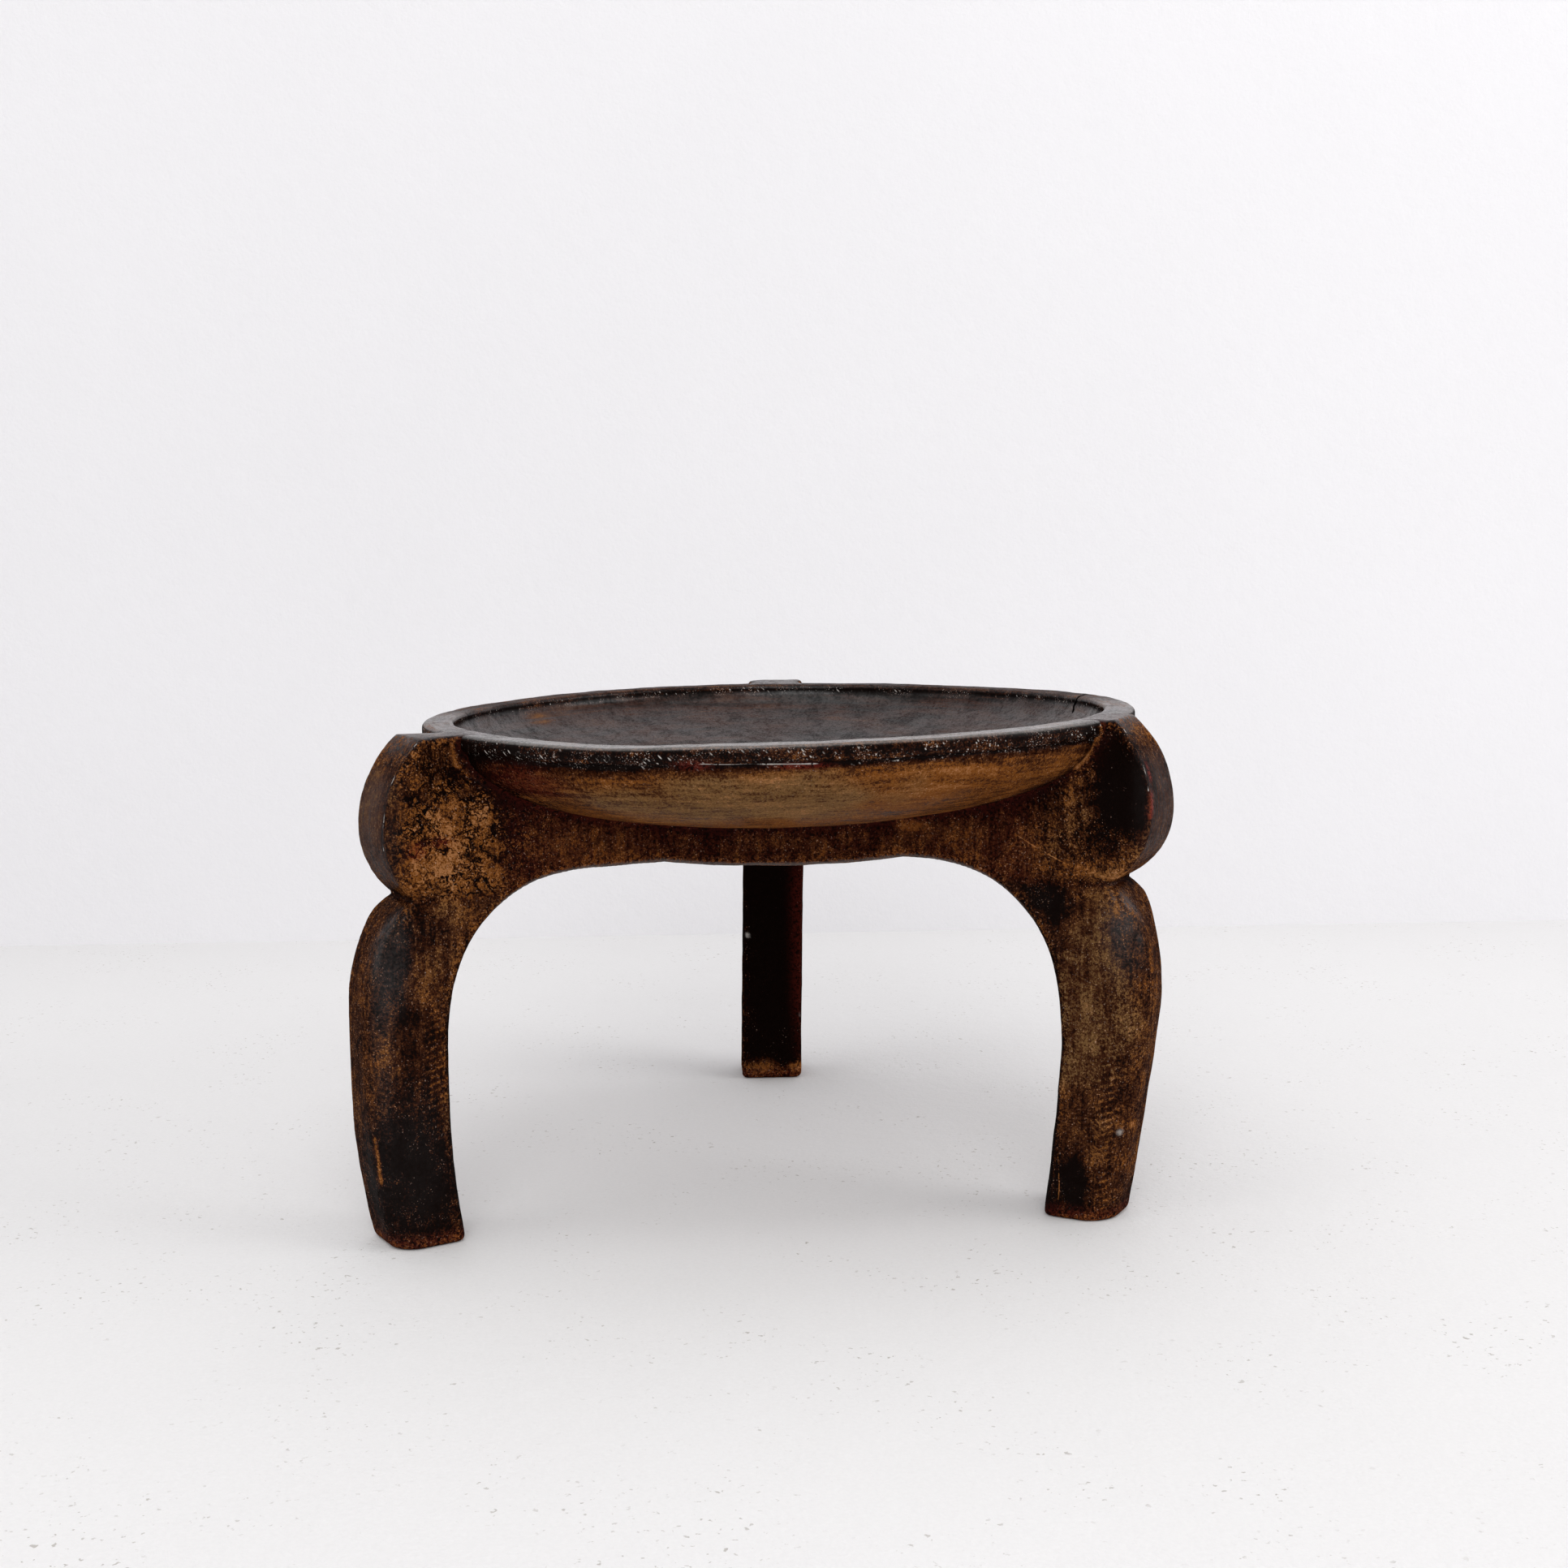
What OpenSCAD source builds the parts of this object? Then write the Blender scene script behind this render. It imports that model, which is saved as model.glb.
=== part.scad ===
// Low round stool on three bowed legs, carved from one block of hardwood.
// Each carved member is a solid of its own, and neighbours meet face to face.
// Lengths are millimetres. The stool stands on the plane z = 0 and faces the -Y side.

/* [Seat dish] */
// Outside diameter of the rim
seat_d = 340; // [300:1:370]
// Height of the rim's top above the floor, at the seat's axis
seat_h = 227; // [215:1:250]
// Width of the flat band along the rim's top
rim_band = 15; // [9:0.5:30]
// Height of the rim's outer face
rim_face = 8; // [7:0.5:12]
// Rounding of the rim's outer edges
rim_round = 3; // [1:0.5:3.5]
// How far the rim stands out past the rounded underside
rim_lip = 3; // [1:0.5:6]
// Depth of the seat's hollow below the rim's top
dish_depth = 34; // [20:1:38]
// Depth of the rounded underside below the rim's outer face
belly_drop = 44; // [38:1:48]
// Lean of the seat out of level, in degrees
seat_lean = 0.75; // [0:0.05:1.5]
// Plan direction in which the leaning seat rises, in degrees
lean_to = 315; // [0:5:360]

/* [Limbs] */
// Thickness of legs, arms and lugs from side to side
limb_w = 34.5; // [28:0.5:42]
// Drop of the groove between lug and leg, below the seat's height
groove_drop = 71; // [68:1:79]
// Drop of the arch's flat top, below the seat's height
arch_drop = 65; // [61:1:67]
// Distance from the rim's edge in to the seam between hub and arm
hub_in = 95; // [95:1:105]
// Drop of the hub's rounded underside below the arch's top
hub_drop = 7; // [2:0.5:12]
// Plan radius of the hollow wall between neighbouring arms
web_r = 150; // [110:5:170]

/* [Leg profile] */
// Thickness of a leg at the foot, measured outwards from the axis
foot_t = 33; // [28:0.5:38]
// Height above which the inner face turns in towards the arch
spring_z = 82; // [70:1:90]
// Reach of the arch's corner, from the inner face to the flat top
arch_run = 70; // [60:1:75]
// Fullness of the arch's corner, where 2 is an ellipse
arch_full = 2.4; // [2:0.1:3]
// Rounding of a leg's two outer arrises
outer_round = 11; // [6:0.5:15]
// Rounding of a leg's two inner arrises
inner_round = 4; // [2:0.5:8]
// Wear that rounds the edge of each sole
sole_wear = 2; // [1:0.5:4]

/* [Lug profile] */
// Drop from a lug's top to its widest point
lug_drop = 41; // [36:1:46]
// Depth of the groove behind the lug's widest point
groove_in = 18; // [12:0.5:22]
// Radius of the lug's outer edge above its widest point
lug_crown = 54; // [48:1:70]
// Length of a lug from its seam with the arm to its widest point
lug_len = 50; // [44:1:56]
// Radius of the scoop on either side of a lug's neck
scoop_r = 30; // [24:1:40]
// Depth of the scoops' middle below the lug's top
scoop_drop = 8; // [0:1:14]

/* [Left leg] */
// Turn of the left leg away from even spacing, in degrees
left_turn = 0; // [-4:0.25:4]
// How far the left lug's widest point stands out past the rim
left_lug = 38; // [30:0.5:42]
// How far the left knee stands out past the rim
left_knee = 48; // [35:0.5:55]
// How far the outer edge of the left foot stands out past the rim
left_foot = 38.5; // [25:0.5:45]
// How far the left lug's top stands above the seat's height
left_rise = -0.5; // [-4:0.5:4]
// Depth of the two scoops that narrow the left lug's neck
left_scoop = 7.5; // [1:0.5:11]
// Thickness of the left leg at the knee, measured outwards from the axis
left_knee_t = 37; // [34:0.5:42]
// Height at which the left leg reaches out furthest
left_knee_z = 92; // [80:1:115]
// Bow of the left leg below the knee, where 1 is straight
left_bow = 2.2; // [1.1:0.05:2.5]

/* [Right leg] */
// Turn of the right leg away from even spacing, in degrees
right_turn = 1; // [-4:0.25:4]
// How far the right lug's widest point stands out past the rim
right_lug = 22.5; // [20:0.5:35]
// How far the right knee stands out past the rim
right_knee = 20; // [16:0.5:40]
// How far the outer edge of the right foot stands out past the rim
right_foot = 4.5; // [-2:0.5:25]
// How far the right lug's top stands above the seat's height
right_rise = 2.5; // [-4:0.5:4]
// Depth of the two scoops that narrow the right lug's neck
right_scoop = 2.5; // [1:0.5:11]
// Thickness of the right leg at the knee, measured outwards from the axis
right_knee_t = 40; // [34:0.5:42]
// Height at which the right leg reaches out furthest
right_knee_z = 106; // [80:1:115]
// Bow of the right leg below the knee, where 1 is straight
right_bow = 1.25; // [1.1:0.05:2.5]

/* [Rear leg] */
// Turn of the rear leg away from even spacing, in degrees
rear_turn = 0.25; // [-4:0.25:4]
// How far the rear lug's widest point stands out past the rim
rear_lug = 32; // [22:0.5:38]
// How far the rear knee stands out past the rim
rear_knee = 37; // [25:0.5:45]
// How far the outer edge of the rear foot stands out past the rim
rear_foot = 26; // [12:0.5:35]
// How far the rear lug's top stands above the seat's height
rear_rise = 0; // [-4:0.5:4]
// Depth of the two scoops that narrow the rear lug's neck
rear_scoop = 5; // [1:0.5:11]
// Thickness of the rear leg at the knee, measured outwards from the axis
rear_knee_t = 38.5; // [34:0.5:42]
// Height at which the rear leg reaches out furthest
rear_knee_z = 98; // [80:1:115]
// Bow of the rear leg below the knee, where 1 is straight
rear_bow = 1.5; // [1.1:0.05:2.5]

/* [Hidden] */

$fn = 120;
seat_r = seat_d / 2;
groove_z = seat_h - groove_drop;
arch_z = seat_h - arch_drop;
hub_r = seat_r - hub_in;
dish_r = seat_r - rim_band;
belly_r = seat_r - rim_lip;
reach = 2 * seat_d;
headroom = 20;

// Plan directions of three evenly spaced legs.
rear_way = 90;
left_way = 210;
right_way = 330;

// One leg as a record: direction, reach of lug, knee and foot past the rim, rise of the lug's top,
// scoop depth, and the knee's thickness, height and bow.
left = [left_way + left_turn, left_lug, left_knee, left_foot, left_rise, left_scoop,
        left_knee_t, left_knee_z, left_bow];
right = [right_way + right_turn, right_lug, right_knee, right_foot, right_rise, right_scoop,
         right_knee_t, right_knee_z, right_bow];
rear = [rear_way + rear_turn, rear_lug, rear_knee, rear_foot, rear_rise, rear_scoop,
        rear_knee_t, rear_knee_z, rear_bow];
function turn(leg) = leg[0];
function lug_out(leg) = seat_r + leg[1];
function knee_out(leg) = seat_r + leg[2];
function foot_out(leg) = seat_r + leg[3];
function lug_top(leg) = seat_h + leg[4];
function scoop_in(leg) = leg[5];
function knee_t(leg) = leg[6];
function knee_z(leg) = leg[7];
function bow(leg) = leg[8];
function lug_z(leg) = lug_top(leg) - lug_drop;
function groove_r(leg) = lug_out(leg) - groove_in;
function root_r(leg) = lug_out(leg) - lug_len;
function knee_in(leg) = knee_out(leg) - knee_t(leg);
function foot_in(leg) = foot_out(leg) - foot_t;

// Centre of the stool's outline in plan, which becomes the origin.
knee_side = limb_w / 2 - outer_round;
left_edge = cos(turn(left)) * (knee_out(left) - outer_round) - knee_side / 2 - outer_round;
right_edge = max(seat_r, cos(turn(right)) * lug_out(right) - sin(turn(right)) * limb_w / 2);
rear_edge = max(lug_out(rear), knee_out(rear));
centre = [(left_edge + right_edge) / 2, (rear_edge - seat_r) / 2];

// Profiles of the dish, as distance from the axis and height from the rim's top.
profile_steps = 18;
round_steps = 4;
function quarter(r, drop, z) = [for (i = [0:profile_steps])
    [r * sin(90 * i / profile_steps), z - drop * cos(90 * i / profile_steps)]];
function arc(c, r, a, b, n) = [for (i = [0:n])
    [c[0] + r * cos(a + (b - a) * i / n), c[1] + r * sin(a + (b - a) * i / n)]];
function reversed(list) = [for (i = [len(list) - 1:-1:0]) list[i]];
underside = quarter(belly_r, belly_drop, -rim_face);
hollow = quarter(dish_r, dish_depth, 0);
rim_low = arc([seat_r - rim_round, rim_round - rim_face], rim_round, -90, 0, round_steps);
rim_high = arc([seat_r - rim_round, -rim_round], rim_round, 0, 90, round_steps);

// Puts a shape drawn from the rim's top at the seat's height and lean.
module seated() {
    translate([0, 0, seat_h])
        rotate([0, 0, lean_to])
            rotate([0, -seat_lean, 0])
                rotate([0, 0, -lean_to])
                    children();
}

// The dish filled up solid, which every member below it is cut back from.
module dish_blank() {
    seated()
        rotate_extrude()
            polygon(concat(underside, rim_low, [[seat_r, headroom], [0, headroom]]));
}

// Star outline of the hub and its three arms in plan, with hollow walls between them.
web_steps = 20;
function side(a, r, t) = [r * cos(a) - t * sin(a), r * sin(a) + t * cos(a)];
function web(a, b) =
    let (far = (web_r + limb_w / 2) / sin((b - a) / 2))
    arc(side((a + b) / 2, far, 0), web_r, a + 270, b + 90, web_steps);
function arm_end(a) = [side(a, reach, -limb_w / 2), side(a, reach, limb_w / 2)];
star = concat(arm_end(turn(rear)), web(turn(rear), turn(left)),
              arm_end(turn(left)), web(turn(left), turn(right)),
              arm_end(turn(right)), web(turn(right), turn(rear) + 360));

module star_block() {
    translate([0, 0, groove_z - headroom])
        linear_extrude(seat_h - groove_z + headroom)
            polygon(star);
}

// Space under the hub, whose roof hangs lowest at the seat's axis.
dome_steps = 10;
dome = [for (i = [0:dome_steps])
    [hub_r * i / dome_steps, arch_z - hub_drop * (1 - pow(i / dome_steps, 2))]];
floor_z = groove_z - 2 * headroom;
module under_hub() {
    rotate_extrude()
        polygon(concat([[0, floor_z]], dome, [[reach, arch_z], [reach, floor_z]]));
}

// Everything further out than the seam between the hub and one arm.
module beyond_hub(leg) {
    rotate([0, 0, turn(leg)])
        translate([hub_r, -reach, floor_z])
            cube([reach, 2 * reach, seat_h]);
}

// Side view of one leg, as distance from the seat's axis at a height.
function arch_in(leg, z) =
    knee_in(leg) - arch_run * (1 - pow(1 - pow((z - spring_z) / (arch_z - spring_z), arch_full),
                                       1 / arch_full));
function inner(leg, z) = z > spring_z ? arch_in(leg, z)
    : knee_in(leg) - (knee_in(leg) - foot_in(leg)) * pow(1 - z / spring_z, bow(leg));
function outer_low(leg, z) =
    knee_out(leg) - (knee_out(leg) - foot_out(leg)) * pow(1 - z / knee_z(leg), bow(leg));

// Bezier curve of the shoulder, from the knee up and in to the groove.
shoulder_rise = 0.46;
shoulder_turn = 0.84;
shoulder_back = 0.27;
function bezier(p, u) = pow(1 - u, 3) * p[0] + 3 * u * pow(1 - u, 2) * p[1]
    + 3 * u * u * (1 - u) * p[2] + pow(u, 3) * p[3];
function shoulder(leg, u) =
    let (back = knee_out(leg) - groove_r(leg), rise = groove_z - knee_z(leg))
    bezier([[knee_out(leg), knee_z(leg)],
            [knee_out(leg), knee_z(leg) + shoulder_rise * rise],
            [knee_out(leg) - shoulder_back * back, knee_z(leg) + shoulder_turn * rise],
            [groove_r(leg), groove_z]], u);

// A level slice of a leg: a rectangle with its outer and inner arrises rounded.
corner_steps = 5;
function slice(a, r_in, r_out, z, ro, ri, wear) =
    let (w = limb_w / 2 - wear, x0 = r_in + wear, x1 = r_out - wear)
    [for (p = concat(arc([x1 - ro, w - ro], ro, 0, 90, corner_steps),
                     arc([x0 + ri, w - ri], ri, 90, 180, corner_steps),
                     arc([x0 + ri, ri - w], ri, 180, 270, corner_steps),
                     arc([x1 - ro, ro - w], ro, 270, 360, corner_steps)))
        concat(side(a, p[0], p[1]), [z])];

// Slices from the sole up to the seam at the groove, with crisper arrises near the groove.
low_slices = 9;
high_slices = 12;
crisp = 0.35;
function shank(leg) = [for (i = [0:low_slices - 1])
    let (z = sole_wear + (knee_z(leg) - sole_wear) * i / low_slices)
    slice(turn(leg), inner(leg, z), outer_low(leg, z), z, outer_round, inner_round, 0)];
function shoulder_slices(leg) = [for (i = [0:high_slices])
    let (u = i / high_slices, p = shoulder(leg, u), ease = 1 - (1 - crisp) * u * u)
    slice(turn(leg), inner(leg, p[1]), p[0], p[1], outer_round * ease, inner_round * ease, 0)];
function leg_slices(leg) = concat(
    [slice(turn(leg), foot_in(leg), foot_out(leg), 0, outer_round, inner_round, sole_wear)],
    shank(leg), shoulder_slices(leg));

// Skin over a stack of slices that have the same number of points.
module loft(slices) {
    n = len(slices[0]);
    top = len(slices) - 1;
    walls = [for (k = [0:top - 1], i = [0:n - 1])
        let (j = (i + 1) % n)
        each [[k * n + i, (k + 1) * n + i, k * n + j],
              [k * n + j, (k + 1) * n + i, (k + 1) * n + j]]];
    ends = [[for (i = [0:n - 1]) i], [for (i = [n - 1:-1:0]) top * n + i]];
    polyhedron([for (s = slices) each s], concat(walls, ends));
}

// Stands a side view of one leg, drawn outwards and upwards, in that leg's plane.
module upright(leg, width) {
    rotate([0, 0, turn(leg)])
        rotate([90, 0, 0])
            translate([0, 0, -width / 2])
                linear_extrude(width)
                    children();
}

// Side view of an arm: level by the hub, then down the arch's corner to the leg's seam.
arch_steps = 12;
function arch_line(leg) = [for (i = [0:arch_steps])
    let (z = arch_z - (arch_z - groove_z) * pow(i / arch_steps, 2))
    [arch_in(leg, z), z]];
module arm_side(leg) {
    polygon(concat([[hub_r, seat_h], [hub_r, arch_z]], arch_line(leg),
                   [[root_r(leg), groove_z], [root_r(leg), seat_h]]));
}

module arm(leg) {
    difference() {
        intersection() {
            star_block();
            upright(leg, 2 * web_r) arm_side(leg);
        }
        dish_blank();
    }
}

// Side view of a lug: two arcs that meet at its widest point, on a square root.
module lug_side(leg) {
    rise = lug_z(leg) - groove_z;
    low_r = (pow(rise, 2) + pow(groove_in, 2)) / (2 * groove_in);
    intersection() {
        translate([root_r(leg), groove_z])
            square([reach, rise]);
        union() {
            translate([lug_out(leg) - low_r, lug_z(leg)])
                circle(low_r);
            translate([root_r(leg), groove_z])
                square([lug_len - low_r, rise]);
        }
    }
    intersection() {
        translate([root_r(leg), lug_z(leg)])
            square([reach, lug_drop]);
        translate([lug_out(leg) - lug_crown, lug_z(leg)])
            circle(lug_crown);
    }
}

// Scoops that narrow a lug's neck on both sides, where it grows out of the rim.
module scoops(leg) {
    for (flank = [-1, 1])
        rotate([0, 0, turn(leg)])
            translate([seat_r, flank * (limb_w / 2 - scoop_in(leg) + scoop_r),
                       lug_top(leg) - scoop_drop])
                sphere(scoop_r);
}

module lug(leg) {
    difference() {
        upright(leg, limb_w) lug_side(leg);
        dish_blank();
        scoops(leg);
    }
}

module placed() {
    translate([-centre[0], -centre[1], 0])
        children();
}

module seat_dish() {
    color([0.20, 0.17, 0.15])
        placed()
            seated()
                rotate_extrude()
                    polygon(concat(underside, rim_low, rim_high, reversed(hollow)));
}

module hub() {
    color([0.30, 0.15, 0.07])
        placed()
            difference() {
                star_block();
                under_hub();
                beyond_hub(left);
                beyond_hub(right);
                beyond_hub(rear);
                dish_blank();
            }
}

module arm_left() { color([0.40, 0.22, 0.10]) placed() arm(left); }
module arm_right() { color([0.36, 0.20, 0.10]) placed() arm(right); }
module arm_rear() { color([0.28, 0.16, 0.09]) placed() arm(rear); }

module leg_left() { color([0.21, 0.12, 0.08]) placed() loft(leg_slices(left)); }
module leg_right() { color([0.34, 0.21, 0.12]) placed() loft(leg_slices(right)); }
module leg_rear() { color([0.14, 0.09, 0.07]) placed() loft(leg_slices(rear)); }

module lug_left() { color([0.52, 0.31, 0.15]) placed() lug(left); }
module lug_right() { color([0.13, 0.09, 0.07]) placed() lug(right); }
module lug_rear() { color([0.20, 0.13, 0.09]) placed() lug(rear); }

seat_dish();
hub();
arm_left();
arm_right();
arm_rear();
leg_left();
leg_right();
leg_rear();
lug_left();
lug_right();
lug_rear();
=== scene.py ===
"""Looks of a low carved stool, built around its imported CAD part.

The stool is one block of wood. Its seat is a Geometry Nodes turning, and its hub, arms, legs and lugs
are carved as one smooth solid and then parted along the CAD part's seams, so that no seam shows.
The file is laid out as a Blender add-on and is run as a script.
"""

import math

import bpy
import numpy as np
from bpy.props import (CollectionProperty, FloatProperty, FloatVectorProperty, IntProperty, PointerProperty,
                       StringProperty)
from mathutils import Matrix, Vector


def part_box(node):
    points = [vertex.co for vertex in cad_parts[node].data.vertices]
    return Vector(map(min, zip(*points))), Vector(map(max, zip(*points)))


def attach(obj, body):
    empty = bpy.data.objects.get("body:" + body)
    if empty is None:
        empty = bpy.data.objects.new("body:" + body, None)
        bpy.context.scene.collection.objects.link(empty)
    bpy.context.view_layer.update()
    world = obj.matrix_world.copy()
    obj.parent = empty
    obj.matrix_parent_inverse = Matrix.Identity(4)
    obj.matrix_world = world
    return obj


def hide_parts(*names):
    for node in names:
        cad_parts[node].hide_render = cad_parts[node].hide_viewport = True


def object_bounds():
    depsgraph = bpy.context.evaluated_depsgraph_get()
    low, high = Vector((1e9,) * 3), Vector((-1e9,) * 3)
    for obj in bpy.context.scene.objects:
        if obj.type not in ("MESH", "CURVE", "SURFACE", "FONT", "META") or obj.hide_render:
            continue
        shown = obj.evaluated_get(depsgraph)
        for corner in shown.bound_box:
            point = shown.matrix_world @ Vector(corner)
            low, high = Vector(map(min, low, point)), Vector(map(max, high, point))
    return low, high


bl_info = {
    "name": "Carved stool",
    "version": (1, 0, 0),
    "blender": (4, 5, 0),
    "location": "3D View > Sidebar > Stool",
    "description": "Carves a low one-piece stool with a dished seat, and stages it for its photograph",
    "category": "Add Mesh",
}

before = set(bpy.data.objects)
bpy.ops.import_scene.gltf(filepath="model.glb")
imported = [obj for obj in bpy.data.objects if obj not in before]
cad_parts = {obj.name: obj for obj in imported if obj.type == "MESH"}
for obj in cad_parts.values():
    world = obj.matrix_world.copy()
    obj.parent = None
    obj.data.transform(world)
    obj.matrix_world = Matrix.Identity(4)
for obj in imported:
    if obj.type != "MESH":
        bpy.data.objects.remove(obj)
CAD_BOX = [list(corner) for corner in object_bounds()]
SEAT_LOW, SEAT_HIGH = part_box("seat_dish")
SEAT_AXIS = (SEAT_LOW + SEAT_HIGH) / 2
SEAT_RADIUS = (SEAT_HIGH.x - SEAT_LOW.x) / 2
AXIS_FOOT = Vector((SEAT_AXIS.x, SEAT_AXIS.y, 0))   # where the seat's axis meets the floor
BODY = "root"
BLOCK = "stool_block"
SIDES = ("member_in", "member_out")
LEG_NAMES = ("left", "right", "rear")
MM = 0.001


# Properties

def length(name, default, description):
    return FloatProperty(name=name, description=description, default=default, min=0, unit="LENGTH",
                         precision=4)


def offset(name, default, description):
    return FloatProperty(name=name, description=description, default=default, unit="LENGTH", precision=4)


def angle(name, degrees, description):
    return FloatProperty(name=name, description=description, default=math.radians(degrees),
                         subtype="ANGLE", unit="ROTATION")


def share(name, default, description, top=1.0):
    return FloatProperty(name=name, description=description, default=default, min=0, max=top)


def colour(name, default, description):
    return FloatVectorProperty(name=name, description=description, default=default, size=3, min=0, max=1,
                               subtype="COLOR")


class StoolSeat(bpy.types.PropertyGroup):
    """Sizes of the dished seat."""
    radius: length("Radius", SEAT_RADIUS, "Outside radius of the rim")
    height: length("Height", 0.227, "Height of the rim's top above the floor, at the seat's axis")
    band: length("Rim band", 0.015, "Width of the flat band along the rim's top")
    face: length("Rim face", 0.008, "Height of the rim's outer face")
    edge: length("Edge rounding", 0.003, "Rounding of the rim's edges")
    lip: length("Lip", 0.003, "How far the rim stands out past the underside")
    hollow: length("Hollow", 0.034, "Depth of the hollow")
    belly: length("Belly", 0.044, "Depth of the rounded underside below the rim's face")
    lean: angle("Lean", 0.75, "Lean of the seat out of level")
    lean_to: angle("Lean towards", 315, "Plan direction in which the seat rises")
    around: IntProperty(name="Around", description="Faces around the seat", default=540, min=24)
    across: IntProperty(name="Across", description="Faces across the seat's section", default=172, min=24)


class StoolLimbs(bpy.types.PropertyGroup):
    """Sizes that the hub, arms, legs and lugs share."""
    width: length("Width", 0.0345, "Thickness of the limbs from side to side")
    groove: length("Groove height", 0.156, "Height of the groove between lug and leg")
    arch: length("Arch height", 0.162, "Height of the arch's flat top")
    hub_radius: length("Hub radius", 0.075, "Distance from the axis to the seam between hub and arm")
    hub_drop: length("Hub drop", 0.007, "Drop of the hub's rounded underside")
    web: length("Web radius", 0.150, "Plan radius of the concave wall between the arms")
    foot: length("Foot", 0.033, "Thickness of a leg at the foot")
    spring: length("Spring", 0.082, "Height at which a leg's inner face turns in to the arch")
    run: length("Arch run", 0.070, "Reach of the arch's corner")
    fullness: FloatProperty(name="Arch fullness", default=2.4, min=1.5, max=4,
                            description="Exponent of the arch's corner, 2 is an ellipse")
    lug_drop: length("Lug drop", 0.041, "Drop from a lug's top to its widest point")
    crown: length("Lug crown", 0.054, "Radius of the lug's outer edge above its widest point")
    lug_length: length("Lug length", 0.050, "Length of a lug from its seam to its widest point")
    scoop: length("Scoop radius", 0.030, "Radius of the scoops beside a lug's neck")
    scoop_drop: length("Scoop drop", 0.008, "Depth of the scoops' middle below the lug's top")
    sole: length("Sole rounding", 0.0032, "Rounding of the feet's lower edges")
    notch: length("Notch", 0.0028, "Depth of the notch that runs in along the limb's sides at the groove")
    fillet: length("Fillet", 0.003, "Softness of the crease under the seat")
    arris: length("Arris", 0.0022, "Rounding of the arrises of arms and lugs")
    bevel: length("Bevel", 0.0017, "Width of the bevel along the arches")
    grain: length("Mesh size", 0.00125, "Spacing of the carved surface's points")


class StoolLeg(bpy.types.PropertyGroup):
    """Sizes of one leg and its lug, measured outwards from the seat's axis."""
    name: StringProperty(name="Name", description="Which leg this is", default="left")
    turn: angle("Direction", 210, "Plan direction of the leg")
    lug: length("Lug reach", 0.208, "Distance to the lug's widest point")
    groove_in: length("Groove depth", 0.018, "Depth of the groove behind the lug's widest point")
    knee: length("Knee reach", 0.218, "Distance to the knee")
    foot: length("Foot reach", 0.2085, "Distance to the outer edge of the foot")
    top: length("Lug top", 0.2265, "Height of the lug's top")
    bite: length("Neck scoop", 0.0075, "Depth of the scoops that narrow the lug's neck")
    knee_thick: length("Knee thickness", 0.037, "Thickness of the leg at its knee")
    knee_height: length("Knee height", 0.092, "Height at which the leg reaches out furthest")
    bow: FloatProperty(name="Bow", description="Bow of the leg below the knee, 1 is straight", default=2.2)
    round_out: length("Outer rounding", 0.011, "Rounding of the leg's outer arris on the front side")
    round_back: length("Back rounding", 0.006, "Rounding of the leg's outer arris on the back side")
    round_in: length("Inner rounding", 0.004, "Rounding of the leg's two inner arrises")
    lean: offset("Lean", 0, "How far the leg's top leans sideways from its foot")


LEG_SIZES = {
    "left": dict(turn=210, lug=0.208, groove_in=0.0132, knee=0.218, foot=0.2085, top=0.2265, bite=0.0075,
                 knee_thick=0.037, knee_height=0.092, bow=2.2, round_out=0.0125, round_back=0.006,
                 round_in=0.0045),
    "right": dict(turn=331, lug=0.1925, groove_in=0.0204, knee=0.190, foot=0.1745, top=0.2295, bite=0.0025,
                  knee_thick=0.040, knee_height=0.106, bow=1.25, round_out=0.0155, round_back=0.010,
                  round_in=0.0045),
    "rear": dict(turn=90.25, lug=0.202, groove_in=0.018, knee=0.207, foot=0.196, top=0.227, bite=0.005,
                 knee_thick=0.0385, knee_height=0.098, bow=1.5, round_out=0.008, round_back=0.008,
                 round_in=0.004, lean=-0.0052),
}


class StoolFinish(bpy.types.PropertyGroup):
    """Colours and tool marks of the finish."""
    patina: colour("Patina", (0.0042, 0.0020, 0.0015), "Black oiled patina in the hollows")
    umber: colour("Umber", (0.026, 0.0064, 0.0021), "Deep reddish brown of grimed wood")
    brown: colour("Brown", (0.060, 0.0220, 0.0085), "Brown of handled wood")
    ochre: colour("Ochre", (0.175, 0.058, 0.011), "Orange brown of worn wood")
    olive: colour("Olive", (0.150, 0.079, 0.030), "Olive tan of worn wood")
    tan: colour("Tan", (0.40, 0.178, 0.070), "Bare wood")
    red: colour("Red", (0.180, 0.021, 0.013), "Traces of red earth")
    # This pale colour serves real pale specks, dust and nicks, and also painted highlights: glint lines,
    # white sparkle specks, the nicks' glints and a highlight along the rim's front
    chalk_and_glint: colour("Chalk", (0.46, 0.43, 0.40), "Pale specks and rubbed edges")
    # Painted reflection: this pale grey stands in for the bright floor reflected in the bevel along the
    # arches
    bevel_reflection: colour("Sheen", (0.095, 0.076, 0.068), "Greyed wood on the bevel along the arches")
    hewn: length("Hewn depth", 0.0007, "Depth of the tool's broad facets")
    dent: length("Dent depth", 0.0002, "Depth of small dents")
    relief: length("Relief", 0.0005, "Depth of the finish's fine relief")
    rung: length("Rung spacing", 0.0032, "Spacing of the rungs of fine cuts down the legs")


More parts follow.
